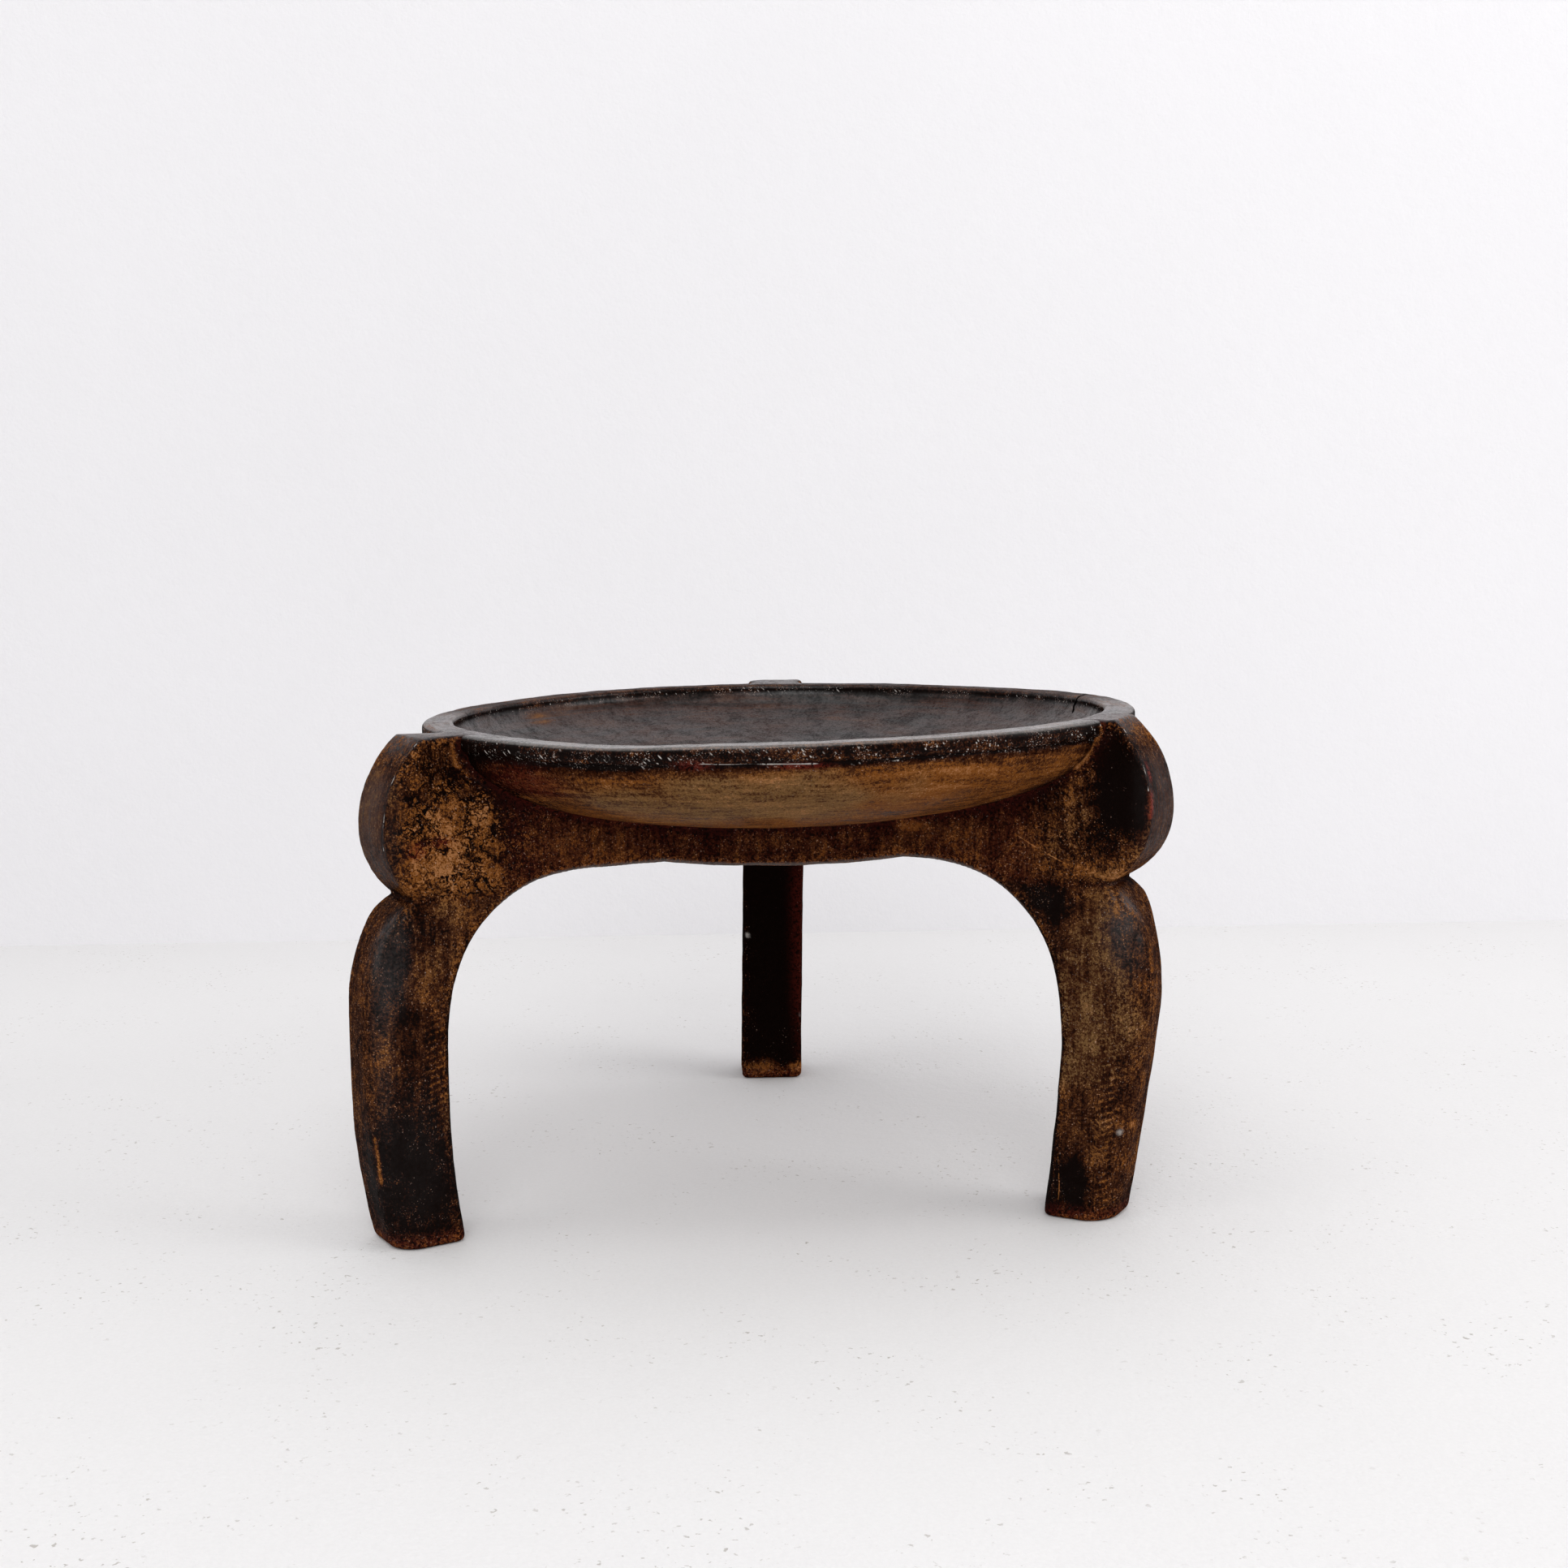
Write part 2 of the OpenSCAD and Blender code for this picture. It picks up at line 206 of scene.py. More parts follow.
class StoolStage(bpy.types.PropertyGroup):
    """Backdrop, lights and camera."""
    floor: colour("Floor", (0.80, 0.79, 0.79), "Colour of the floor")
    wall: colour("Wall", (0.84, 0.83, 0.85), "Colour of the wall")
    floor_gap: length("Floor gap", 0.0001, "Height of the soles above the floor")
    wall_distance: length("Wall distance", 0.585, "Distance from the seat's axis back to the wall")
    daylight: FloatProperty(name="Daylight", description="Strength of the even light all round",
                            default=0.46, min=0)
    camera_place: FloatVectorProperty(name="Camera", description="Camera's place from the seat's axis",
                                      default=(-0.02019, -1.02428, 0.32237), size=3, unit="LENGTH")
    pan: angle("Pan", 1.253, "Turn of the camera to the right")
    pitch: angle("Pitch", 7.325, "Tilt of the camera down")
    roll: angle("Roll", 0.710, "Roll of the camera")
    lens: FloatProperty(name="Lens", description="Focal length on a 36 mm wide sensor", default=48.92)


# Carving maths, on arrays of millimetres measured from the seat's axis

FAR_IN = -260        # where a limb's side view starts, well past the axis
BELOW_FLOOR = -20    # where it ends, so that the sole is cut level
KNEE_DRAW = 0.27     # share of the knee's reach that the curve has lost near the groove
NOTCH_RUN = 31       # how far in from the groove the notch runs out
NOTCH_HALF = 6.5     # half the notch's height
SCOOP_REACH = 170    # distance from the axis to the scoops beside the lugs' necks
SCOOP_BLEND = 4.0    # softness of the scoops' edges
CORE_INSET = 3       # how far the limbs reach into the seat
# Where the rim rises and dips: direction and reach in degrees, and rise
RIM_WAVES = ((110, 34, 1.3), (242, 18, -1.3), (300, 26, 0.3), (45, 26, -0.5))


def smooth(x, low, high):
    """0 below low, 1 above high, and an even ease between them."""
    t = np.clip((x - low) / (high - low), 0, 1)
    return t * t * (3 - 2 * t)


def soft_min(a, b, k):
    """Union of two distances, with the crease between them filled over a width of k."""
    h = np.clip(0.5 + 0.5 * (b - a) / k, 0, 1)
    return b + (a - b) * h - k * h * (1 - h)


def round_meet(a, b, radius):
    """Intersection of two distances, with their arris rounded."""
    u, v = a + radius, b + radius
    return np.minimum(np.maximum(u, v), 0) + np.hypot(np.maximum(u, 0), np.maximum(v, 0)) - radius


def arc(cx, cy, radius, start, end, count):
    """Points along an arc, from one angle in degrees to another."""
    a = np.radians(np.linspace(start, end, count))
    return np.stack([cx + radius * np.cos(a), cy + radius * np.sin(a)], 1)


def slope_of(seat):
    """Rise of the leaning seat along x and along y."""
    return math.tan(seat.lean) * math.cos(seat.lean_to), math.tan(seat.lean) * math.sin(seat.lean_to)


class Section:
    """Signed distance to a closed outline, held on a grid and read back between its points."""

    def __init__(self, outline, low, high, step=0.8):
        self.low, self.step = np.array(low, float), step
        axes = [np.arange(a, b + step, step) for a, b in zip(low, high)]
        gx, gy = np.meshgrid(*axes, indexing="ij")
        near, inside = np.full(gx.shape, 1e12), np.zeros(gx.shape, bool)
        for (x0, y0), (x1, y1) in zip(outline, np.roll(outline, -1, 0)):
            dx, dy = x1 - x0, y1 - y0
            if dx == dy == 0:
                continue
            t = np.clip(((gx - x0) * dx + (gy - y0) * dy) / (dx * dx + dy * dy), 0, 1)
            near = np.minimum(near, (gx - x0 - t * dx) ** 2 + (gy - y0 - t * dy) ** 2)
            if dy:
                inside ^= ((y0 > gy) != (y1 > gy)) & (gx < dx * (gy - y0) / dy + x0)
        self.distance = np.where(inside, -1, 1) * np.sqrt(near)

    def __call__(self, x, y):
        shape = np.array(self.distance.shape)
        u = np.clip((x - self.low[0]) / self.step, 0, shape[0] - 1.001)
        v = np.clip((y - self.low[1]) / self.step, 0, shape[1] - 1.001)
        i, j = u.astype(int), v.astype(int)
        u, v, d = u - i, v - j, self.distance
        return ((d[i, j] * (1 - u) + d[i + 1, j] * u) * (1 - v)
                + (d[i, j + 1] * (1 - u) + d[i + 1, j + 1] * u) * v)


class Limb:
    """One leg with its lug: side view, directions and seams."""

    def __init__(self, leg, limbs):
        for group, fields in (
                (leg, "lug knee foot top bite knee_thick knee_height round_out round_back round_in lean"),
                (limbs, "width groove arch crown scoop scoop_drop spring run notch arris bevel sole")):
            for field in fields.split():
                setattr(self, field, getattr(group, field) / MM)
        self.turn, self.bow, self.fullness = leg.turn, leg.bow, limbs.fullness
        self.along = (math.cos(leg.turn), math.sin(leg.turn))
        self.lug_z = self.top - limbs.lug_drop / MM
        self.groove_r = self.lug - leg.groove_in / MM
        self.root = self.lug - limbs.lug_length / MM
        self.knee_in = self.knee - self.knee_thick
        self.foot_in = self.foot - limbs.foot / MM
        self.front = -math.copysign(1, self.along[0])
        self.section = Section(self._outline(), (-70, -12), (236, 246))

    def _outline(self):
        """Side view as distance from the axis and height, from the inner foot round to the outer foot."""
        z = np.linspace(0, self.spring, 14)
        inner = self.knee_in - (self.knee_in - self.foot_in) * (1 - z / self.spring) ** self.bow
        a = np.radians(np.linspace(0, 90, 26))[1:]
        corner_r = self.knee_in - self.run * (1 - np.cos(a).clip(0) ** (2 / self.fullness))
        corner_z = self.spring + (self.arch - self.spring) * np.sin(a) ** (2 / self.fullness)
        rise = self.lug_z - self.groove
        depth = self.lug - self.groove_r
        low_radius = (rise ** 2 + depth ** 2) / (2 * depth)
        crown_angle = math.degrees(math.asin((self.top - self.lug_z) / self.crown))
        low_angle = math.degrees(math.asin(rise / low_radius))
        u = np.linspace(0, 1, 16)[:-1]
        back, climb = self.knee - self.groove_r, self.groove - self.knee_height
        r = np.array([self.knee, self.knee, self.knee - KNEE_DRAW * back, self.groove_r])
        h = self.knee_height + climb * np.array([0, 0.46, 0.84, 1])
        weights = np.stack([(1 - u) ** 3, 3 * u * (1 - u) ** 2, 3 * u * u * (1 - u), u ** 3], 1)
        z_low = np.linspace(0, self.knee_height, 14)[:-1]
        outer = self.knee - (self.knee - self.foot) * (1 - z_low / self.knee_height) ** self.bow
        self.inner_line = (np.concatenate([z, corner_z]), np.concatenate([inner, corner_r]))
        outer_leg = np.concatenate([np.stack([outer, z_low], 1),
                                    np.stack([weights @ r, weights @ h], 1)])
        self.outer_line = (outer_leg[:, 1], outer_leg[:, 0])
        top = [(FAR_IN, self.arch), (FAR_IN, self.top - 5), (148, self.top - 5), (157, self.top - 1.8),
               (171, self.top - 0.15)]
        return np.concatenate([
            [(inner[0], BELOW_FLOOR)], np.stack([inner, z], 1), np.stack([corner_r, corner_z], 1), top,
            arc(self.lug - self.crown, self.lug_z, self.crown, crown_angle, 0, 20),
            arc(self.lug - low_radius, self.lug_z, low_radius, 0, -low_angle, 20)[1:],
            outer_leg[::-1], [(outer[0], BELOW_FLOOR)]])

    def local(self, x, y):
        """Distance out along the leg, and distance across it."""
        c, s = self.along
        return x * c + y * s, y * c - x * s

    def sway(self, r, z):
        """How far the limb stands off sideways at a place, for a leg that doesn't stand upright."""
        return self.lean * (z / self.top - 0.5) * smooth(r, 75, 140)

    def arris_radius(self, r, t, z):
        """How far the limb's arrises are rounded at a place."""
        upper = smooth(z, self.groove - 24, self.groove)
        outer_r, inner_r = np.interp(z, *self.outer_line), np.interp(z, *self.inner_line)
        outward = smooth(r - (outer_r + inner_r) / 2, -7, 7)
        outward = np.where(z > self.groove - 6, smooth(r, self.lug - 34, self.lug - 22), outward)
        outer = self.round_back + (self.round_out - self.round_back) * smooth(t * self.front, -4, 4)
        leg = self.round_in + (outer - self.round_in) * outward
        return leg + (self.arris - leg) * upper

    def solid(self, r, t, z, plan, dome):
        """Distance to this limb, given the distance to the arms' plan and the hub's sag."""
        side = self.section(r, z + dome)
        seam = np.clip((r - self.groove_r + NOTCH_RUN) / NOTCH_RUN, 0, 1.15)
        notch = self.notch * seam * np.clip(1 - np.abs(z - self.groove) / NOTCH_HALF, 0, 1)
        d = round_meet(side, plan + notch, self.arris_radius(r, t, z))
        if self.bevel:
            d = np.maximum(d, (side + plan + self.bevel * smooth(z, self.arch - 45, self.arch - 12)
                               * smooth(self.arch + 14, z, z + 8)) / math.sqrt(2))
        d = round_meet(d, -z, self.sole)
        across = np.abs(t) - (self.width / 2 - self.bite + self.scoop)
        scoop = np.sqrt((r - SCOOP_REACH) ** 2 + across ** 2 + (z - self.top + self.scoop_drop) ** 2)
        return -soft_min(-d, scoop - self.scoop, SCOOP_BLEND)


class Carving:
    """The whole stool as distances: its seat, its limbs, and which member a place belongs to."""

    def __init__(self, stool):
        seat, limbs = stool.seat, stool.limbs
        self.legs = [Limb(leg, limbs) for leg in stool.legs]
        self.limbs = limbs
        self.height, self.fillet = seat.height / MM, limbs.fillet / MM
        self.slope = slope_of(seat)
        self.hub_radius, self.hub_drop = limbs.hub_radius / MM, limbs.hub_drop / MM
        self.plan = Section(self._star(), (-250, -250), (250, 250), 1.0)
        self.seat = Section(self._seat_outline(seat), (-4, -70), (260, 60))
        self.core = Section(self._core_outline(seat), (-4, -70), (260, 60))

    def _star(self):
        """Plan of the hub and arms, with a concave wall between each two arms."""
        half, web = self.limbs.width / MM / 2, self.limbs.web / MM
        turns = sorted(math.degrees(leg.turn) for leg in self.legs)
        points = []
        for a, b in zip(turns, turns[1:] + [turns[0] + 360]):
            c, s = math.cos(math.radians(a)), math.sin(math.radians(a))
            points.append([[400 * c - t * s, 400 * s + t * c] for t in (-half, half)])
            far, middle = (web + half) / math.sin(math.radians(b - a) / 2), math.radians((a + b) / 2)
            points.append(arc(far * math.cos(middle), far * math.sin(middle), web, a + 270, b + 90, 24))
        return np.concatenate(points)

    @staticmethod
    def _seat_outline(seat):
        """Half section of the seat, from the hollow's middle out and back under."""
        radius, edge, band, face = seat.radius / MM, seat.edge / MM, seat.band / MM, seat.face / MM
        a = np.radians(np.linspace(0, 90, 40))
        hollow = np.stack([(radius - band) * np.sin(a), -seat.hollow / MM * np.cos(a)], 1)
        belly = np.stack([(radius - seat.lip / MM) * np.cos(a), -face - seat.belly / MM * np.sin(a)], 1)
        return np.concatenate([hollow, arc(radius - edge, -edge, edge, 90, 0, 8),
                               arc(radius - edge, edge - face, edge, 0, -90, 8), belly])

    @staticmethod
    def _core_outline(seat):
        """What the limbs leave free inside the seat."""
        radius, inset = (seat.radius - seat.lip) / MM - CORE_INSET, seat.belly / MM - CORE_INSET
        a = np.radians(np.linspace(74, 0, 40))
        return np.concatenate([[[0, 55], [158, 55], [158, -seat.face / MM - 6]], np.stack(
            [radius * np.sin(a), -seat.face / MM - inset * np.cos(a)], 1)])

    def warp(self, x, y):
        """How far the hand-cut rim rises and dips from its plane."""
        swing = np.degrees(np.arctan2(y, x)) % 360
        rise = sum(amount * np.exp(-((swing - at) / reach) ** 2) for at, reach, amount in RIM_WAVES)
        return rise * smooth(np.hypot(x, y), 70, 150)

    def seat_height(self, x, y):
        """Height of the rim at a place in plan."""
        return self.height + x * self.slope[0] + y * self.slope[1] + self.warp(x, y)

    def solid(self, x, y, z):
        """Distance to the hub, arms, legs and lugs, which reach a little way into the seat."""
        far = np.hypot(x, y)
        dome = self.hub_drop * np.clip(1 - (far / self.hub_radius) ** 2, 0, 1)
        parts = [leg.local(x, y) for leg in self.legs]
        nearest = np.argmax([r for r, _ in parts], 0)
        d = np.empty_like(x)
        for i, leg in enumerate(self.legs):
            m = nearest == i
            r, t, (c, s) = parts[i][0][m], parts[i][1][m], leg.along
            sway = leg.sway(r, z[m])
            plan = self.plan(x[m] + s * sway, y[m] - c * sway)
            d[m] = leg.solid(r, t - sway, z[m], plan, dome[m])
        rise = z - self.seat_height(x, y)
        joined = soft_min(d, self.seat(far, rise) + 0.25, self.fillet)
        return np.maximum(np.maximum(joined, -self.core(far, rise)), d - self.fillet - 0.5)

    def of_leg(self, key, number):
        """One size of the leg that each place belongs to."""
        return np.array([getattr(leg, key) for leg in self.legs])[number]

    def member(self, x, y, z):
        """Number of the member at each place: 1 the hub, then arm, leg and lug of each leg in turn."""
        parts = np.array([leg.local(x, y)[0] for leg in self.legs])
        nearest, r = np.argmax(parts, 0), parts.max(0)
        root = self.of_leg("root", nearest)
        kind = np.where(z < self.legs[0].groove, 1, np.where(r > root, 2, 0))
        return np.where(r < self.hub_radius, 1, 2 + nearest * 3 + kind).astype(np.uint8)


def sum_at(index, values, count):
    """Sum of the rows of values that land on each index."""
    return np.stack([np.bincount(index, column, count) for column in values.T], 1)


def neighbour_mean(points, edges):
    """Mean of each point's neighbours along the edges, or the point itself where it has none."""
    total, count = np.zeros_like(points), np.zeros(len(points))
    for a, b in ((0, 1), (1, 0)):
        total += sum_at(edges[:, a], points[edges[:, b]], len(points))
        count += np.bincount(edges[:, a], minlength=len(points))
    return np.where(count[:, None] > 0, total / np.maximum(count, 1)[:, None], points)


def edges_of(faces):
    """The two ends of each side of four-sided faces."""
    return np.concatenate([faces[:, [i, (i + 1) % 4]] for i in range(4)])


MEMBERS = ["outside", "hub"] + [f"{part}_{leg}" for leg in LEG_NAMES for part in ("arm", "leg", "lug")]


def carve(carving, low, high, step):
    """Points, four-sided faces and the two members that each face parts, for the limbs' surface.

    A coarse grid finds where the surface runs, and only the fine grid's places near it are worked out.
    """
    ratio, reach = 4, 1.9
    counts = [int(math.ceil((b - a) / step / ratio)) for a, b in zip(low, high)]
    coarse = np.stack(np.meshgrid(*[a + (np.arange(n) + 0.5) * step * ratio - step / 2
                                    for a, n in zip(low, counts)], indexing="ij"), -1).reshape(-1, 3)
    rough = carving.solid(*coarse.T).reshape(counts)
    inside = (rough < 0).repeat(ratio, 0).repeat(ratio, 1).repeat(ratio, 2)
    near = (np.abs(rough) < step * ratio * reach).repeat(ratio, 0).repeat(ratio, 1).repeat(ratio, 2)
    where = np.flatnonzero(near)
    place = np.stack(np.unravel_index(where, inside.shape), 1) * step + low
    inside.ravel()[where] = carving.solid(*place.T) < 0
    label = np.zeros(inside.shape, np.uint8)
    where = np.flatnonzero(inside)
    place = np.stack(np.unravel_index(where, inside.shape), 1) * step + low
    label.ravel()[where] = carving.member(*place.T)

    cells = [slice(0, -1), slice(1, None)]
    corners = [label[i, j, k] for i in cells for j in cells for k in cells]
    lowest, highest = corners[0].copy(), corners[0].copy()
    for c in corners[1:]:
        np.minimum(lowest, c, out=lowest)
        np.maximum(highest, c, out=highest)
    number = np.full(lowest.shape, -1, np.int32)
    mixed = np.flatnonzero(lowest != highest)
    number.ravel()[mixed] = np.arange(len(mixed))
    points = (np.stack(np.unravel_index(mixed, lowest.shape), 1) + 0.5) * step + low
    skin = lowest.ravel()[mixed] == 0

    faces, sides = [], []
    for axis in range(3):
        u, v = (axis + 1) % 3, (axis + 2) % 3
        a = np.take(label, range(0, label.shape[axis] - 1), axis)
        b = np.take(label, range(1, label.shape[axis]), axis)
        at = np.argwhere(a != b)
        at = at[(at[:, u] > 0) & (at[:, v] > 0) & (at[:, u] < label.shape[u] - 1)
                & (at[:, v] < label.shape[v] - 1)]
        around = []
        for du, dv in ((1, 1), (0, 1), (0, 0), (1, 0)):
            cell = at.copy()
            cell[:, u] -= du
            cell[:, v] -= dv
            around.append(number[tuple(cell.T)])
        faces.append(np.stack(around, 1))
        sides.append(np.stack([a[tuple(at.T)], b[tuple(at.T)]], 1))
    return points, skin, np.concatenate(faces), np.concatenate(sides)


EVENING = 0.6       # how far a point goes towards its neighbours' mean in one round
PROBE = 0.05        # half the step over which the distance's slope is measured
LEAST_SLOPE = 0.2   # least square of that slope, so that no point is thrown far


def settle(carving, points, skin, faces, rounds=5):
    """Evens the points out over the surface and draws each skin point exactly onto it."""
    edges = edges_of(faces)
    edges = edges[skin[edges[:, 0]] == skin[edges[:, 1]]]
    for turn in range(rounds + 1):
        if turn < rounds:
            points = points + EVENING * (neighbour_mean(points, edges) - points)
        for _ in range(3):
            p = points[skin]
            d = carving.solid(*p.T)
            slope = np.stack([carving.solid(*(p + step).T) - carving.solid(*(p - step).T)
                              for step in PROBE * np.eye(3)], 1) / (2 * PROBE)
            size = np.maximum((slope ** 2).sum(1), LEAST_SLOPE)
            points[skin] = p - np.clip(d / size, -1, 1)[:, None] * slope
    return points


# Node trees

class Wire:
    """A node's socket that can be added, multiplied and compared, so that node maths reads as Python."""

    def __init__(self, bench, socket):
        self.bench, self.socket = bench, socket

    def _maths(self, operation, *values):
        return self.bench.add("ShaderNodeMath", {"operation": operation}, dict(enumerate(values)))

    def __add__(self, other):
        return self._maths("ADD", self, other)

    def __sub__(self, other):
        return self._maths("SUBTRACT", self, other)

    def __rsub__(self, other):
        return self._maths("SUBTRACT", other, self)

    def __mul__(self, other):
        return self._maths("MULTIPLY", self, other)

    def __truediv__(self, other):
        return self._maths("DIVIDE", self, other)

    def __rtruediv__(self, other):
        return self._maths("DIVIDE", other, self)

    def __pow__(self, other):
        return self._maths("POWER", self, other)

    __radd__, __rmul__ = __add__, __mul__

    def sin(self):
        return self._maths("SINE", self)

    def cos(self):
        return self._maths("COSINE", self)

    def at_least(self, other):
        return self._maths("MAXIMUM", self, other)

    def at_most(self, other):
        return self._maths("MINIMUM", self, other)

    def ease(self, low, high):
        """0 below low, 1 above high, or the other way round where low is the higher."""
        up = low < high
        return self.bench.add("ShaderNodeMapRange", {"interpolation_type": "SMOOTHSTEP"}, {
            "Value": self, "From Min": min(low, high), "From Max": max(low, high),
            "To Min": 0.0 if up else 1.0, "To Max": 1.0 if up else 0.0})


class Bench:
    """Adds nodes to one tree. Values and links go in by socket name or number."""

    def __init__(self, tree):
        self.tree = tree

    def add(self, kind, settings=None, inputs=None, out=0):
        node = self.tree.nodes.new(kind)
        for key, value in (settings or {}).items():
            setattr(node, key, value)
        self.feed(node, inputs or {})
        return Wire(self, node.outputs[out]) if node.outputs else node

    def feed(self, node, inputs):
        """Links or sets a node's inputs."""
        for key, value in inputs.items():
            if isinstance(value, Wire):
                self.tree.links.new(value.socket, node.inputs[key])
            else:
                node.inputs[key].default_value = value

    def vector(self, x, y, z):
        return self.add("ShaderNodeCombineXYZ", None, {0: x, 1: y, 2: z})

    def vectors(self, operation, *values, out=0):
        """Vector Math on vectors, or on a vector and its scale."""
        keys = (0, "Scale") if operation == "SCALE" else (0, 1, 2)
        return self.add("ShaderNodeVectorMath", {"operation": operation}, dict(zip(keys, values)), out)

    def noise(self, place, scale, detail=2.0, rough=0.5, bend=0.0, out=0):
        return self.add("ShaderNodeTexNoise", None, {"Vector": place, "Scale": scale, "Detail": detail,
                                                     "Roughness": rough, "Distortion": bend}, out)

    def blend(self, factor, a, b):
        return self.add("ShaderNodeMix", {"data_type": "RGBA"}, {0: factor, 6: a, 7: b}, out=2)

    def parts(self, vector):
        node = self.tree.nodes.new("ShaderNodeSeparateXYZ")
        self.tree.links.new(vector.socket, node.inputs[0])
        return [Wire(self, s) for s in node.outputs]


def ramp(x, start, span):
    """Runs evenly from 0 to 1 while x rises by span from start."""
    return ((x - start) / span).at_least(0).at_most(1)


def new_tree(name, sizes):
    """An empty Geometry Nodes tree with a geometry passing through and named sizes."""
    tree = bpy.data.node_groups.new(name, "GeometryNodeTree")
    tree.interface.new_socket("Geometry", in_out="OUTPUT", socket_type="NodeSocketGeometry")
    tree.interface.new_socket("Geometry", in_out="INPUT", socket_type="NodeSocketGeometry")
    for label, kind, default in sizes:
        socket = tree.interface.new_socket(label, in_out="INPUT", socket_type=kind)
        if default is not None:
            socket.default_value = default
    bench = Bench(tree)
    inlet = tree.nodes.new("NodeGroupInput")
    return bench, {s.name: Wire(bench, s) for s in inlet.outputs if s.name}


def close_tree(bench, geometry, material):
    """Ends a tree in real geometry with its finish on it."""
    real = bench.add("GeometryNodeRealizeInstances", None, {"Geometry": geometry})
    shown = bench.add("GeometryNodeSetMaterial", None, {"Geometry": real, "Material": material})
    bench.add("NodeGroupOutput", None, {0: shown})


def hewn_tree():
    """Tree that dents a surface along its own directions, as an adze and long use leave it."""
    bench, inlet = new_tree("Hewn surface", [
        ("Hewn depth", "NodeSocketFloat", 0.0006), ("Dent depth", "NodeSocketFloat", 0.00025),
        ("Facet size", "NodeSocketFloat", 0.016), ("Seed", "NodeSocketFloat", 3.0),
        ("Material", "NodeSocketMaterial", None)])
    place = bench.add("GeometryNodeInputPosition")
    outward, keep = (bench.add("GeometryNodeInputNamedAttribute", {"data_type": kind}, {"Name": key})
                     for key, kind in (("outward", "FLOAT_VECTOR"), ("keep", "FLOAT")))

    def seeded(scale, detail, rough, later=0.0):
        return bench.add("ShaderNodeTexNoise", {"noise_dimensions": "4D"}, {
            "Vector": place, "W": inlet["Seed"] + later, "Scale": scale, "Detail": detail,
            "Roughness": rough})

    facet = bench.add("ShaderNodeTexVoronoi", {"voronoi_dimensions": "4D", "feature": "SMOOTH_F1"}, {
        "Vector": place, "W": inlet["Seed"], "Scale": 1 / inlet["Facet size"], "Smoothness": 0.7,
        "Randomness": 1.0})
    lift = ((seeded(22.0, 2.0, 0.45) - 0.5) * 2.2 + (facet - 0.45) * 0.9 - 0.4) * inlet["Hewn depth"] \
        + (seeded(150.0, 3.0, 0.5, 5.0) - 0.5) * 2.0 * inlet["Dent depth"]
    push = bench.vectors("SCALE", outward, lift * (1 - keep))
    moved = bench.add("GeometryNodeSetPosition", None, {"Geometry": inlet["Geometry"], "Offset": push})
    close_tree(bench, moved, inlet["Material"])
    return bench.tree


# The seat's sizes that its tree takes in, by the names of the tree's inputs
SEAT_INPUTS = {"Around": "around", "Across": "across", "Radius": "radius", "Rim band": "band",
               "Rim face": "face", "Edge": "edge", "Lip": "lip", "Hollow": "hollow", "Belly": "belly",
               "Height": "height"}
# Runs of the seat's half section, from the hollow's middle out and back under: where each starts, and
# how much of the section's faces it takes, as shares of them all
SEAT_RUNS = {"hollow": (0.0, 0.38), "bend_in": (0.38, 0.035), "band": (0.415, 0.045),
             "bend_out": (0.46, 0.045), "face": (0.505, 0.02), "bend_low": (0.525, 0.045),
             "lip": (0.56, 0.01), "belly": (0.57, 0.43)}


def seat_tree():
    """Tree that turns the seat's half section round its axis."""
    sizes = StoolSeat.bl_rna.properties
    bench, inlet = new_tree("Dished seat", [
        *((label, "NodeSocketInt" if key in ("around", "across") else "NodeSocketFloat", sizes[key].default)
          for label, key in SEAT_INPUTS.items()),
        *((label, "NodeSocketFloat", 0.0) for label in ("Slope X", "Slope Y", "Axis X", "Axis Y")),
        ("Material", "NodeSocketMaterial", None)])
    grid = bench.add("GeometryNodeMeshGrid", None, {
        "Size X": 1.0, "Size Y": 1.0, "Vertices X": inlet["Around"] + 1, "Vertices Y": inlet["Across"] + 1})
    x, y, _ = bench.parts(bench.add("GeometryNodeInputPosition"))
    turn, row = (x + 0.5) * math.tau, y + 0.5
    run = {key: ramp(row, *span) for key, span in SEAT_RUNS.items()}
    hollow, bend_in, bend_out, bend_low, belly = (
        run[key] * (math.pi / 2) for key in ("hollow", "bend_in", "bend_out", "bend_low", "belly"))
    edge, inner = inlet["Edge"], inlet["Edge"] * 0.8
    inside, under = inlet["Radius"] - inlet["Rim band"], inlet["Radius"] - inlet["Lip"]
    radius = (inside * hollow.sin() + inner * (1 - bend_in.cos())
              + (inlet["Rim band"] - inner - edge) * run["band"] + edge * bend_out.sin()
              - edge * (1 - bend_low.cos()) - (inlet["Lip"] - edge) * run["lip"]
              - under * (1 - belly.cos()))
    height = (inner * bend_in.sin() - (inlet["Hollow"] - inner) * hollow.cos() - inner
              - edge * (1 - bend_out.cos()) - (inlet["Rim face"] - edge * 2) * run["face"]
              - edge * bend_low.sin() - inlet["Belly"] * belly.sin())
    px, py = radius * turn.cos(), radius * turn.sin()
    level = inlet["Height"] + px * inlet["Slope X"] + py * inlet["Slope Y"]
    spot = bench.vector(px + inlet["Axis X"], py + inlet["Axis Y"], level + height)
    turned = bench.add("GeometryNodeSetPosition", None, {"Geometry": grid, "Position": spot})
    closed = bench.add("GeometryNodeMergeByDistance", None, {"Geometry": turned, "Distance": 2e-5})
    close_tree(bench, bench.add("GeometryNodeFlipFaces", None, {"Mesh": closed}), inlet["Material"])
    return bench.tree


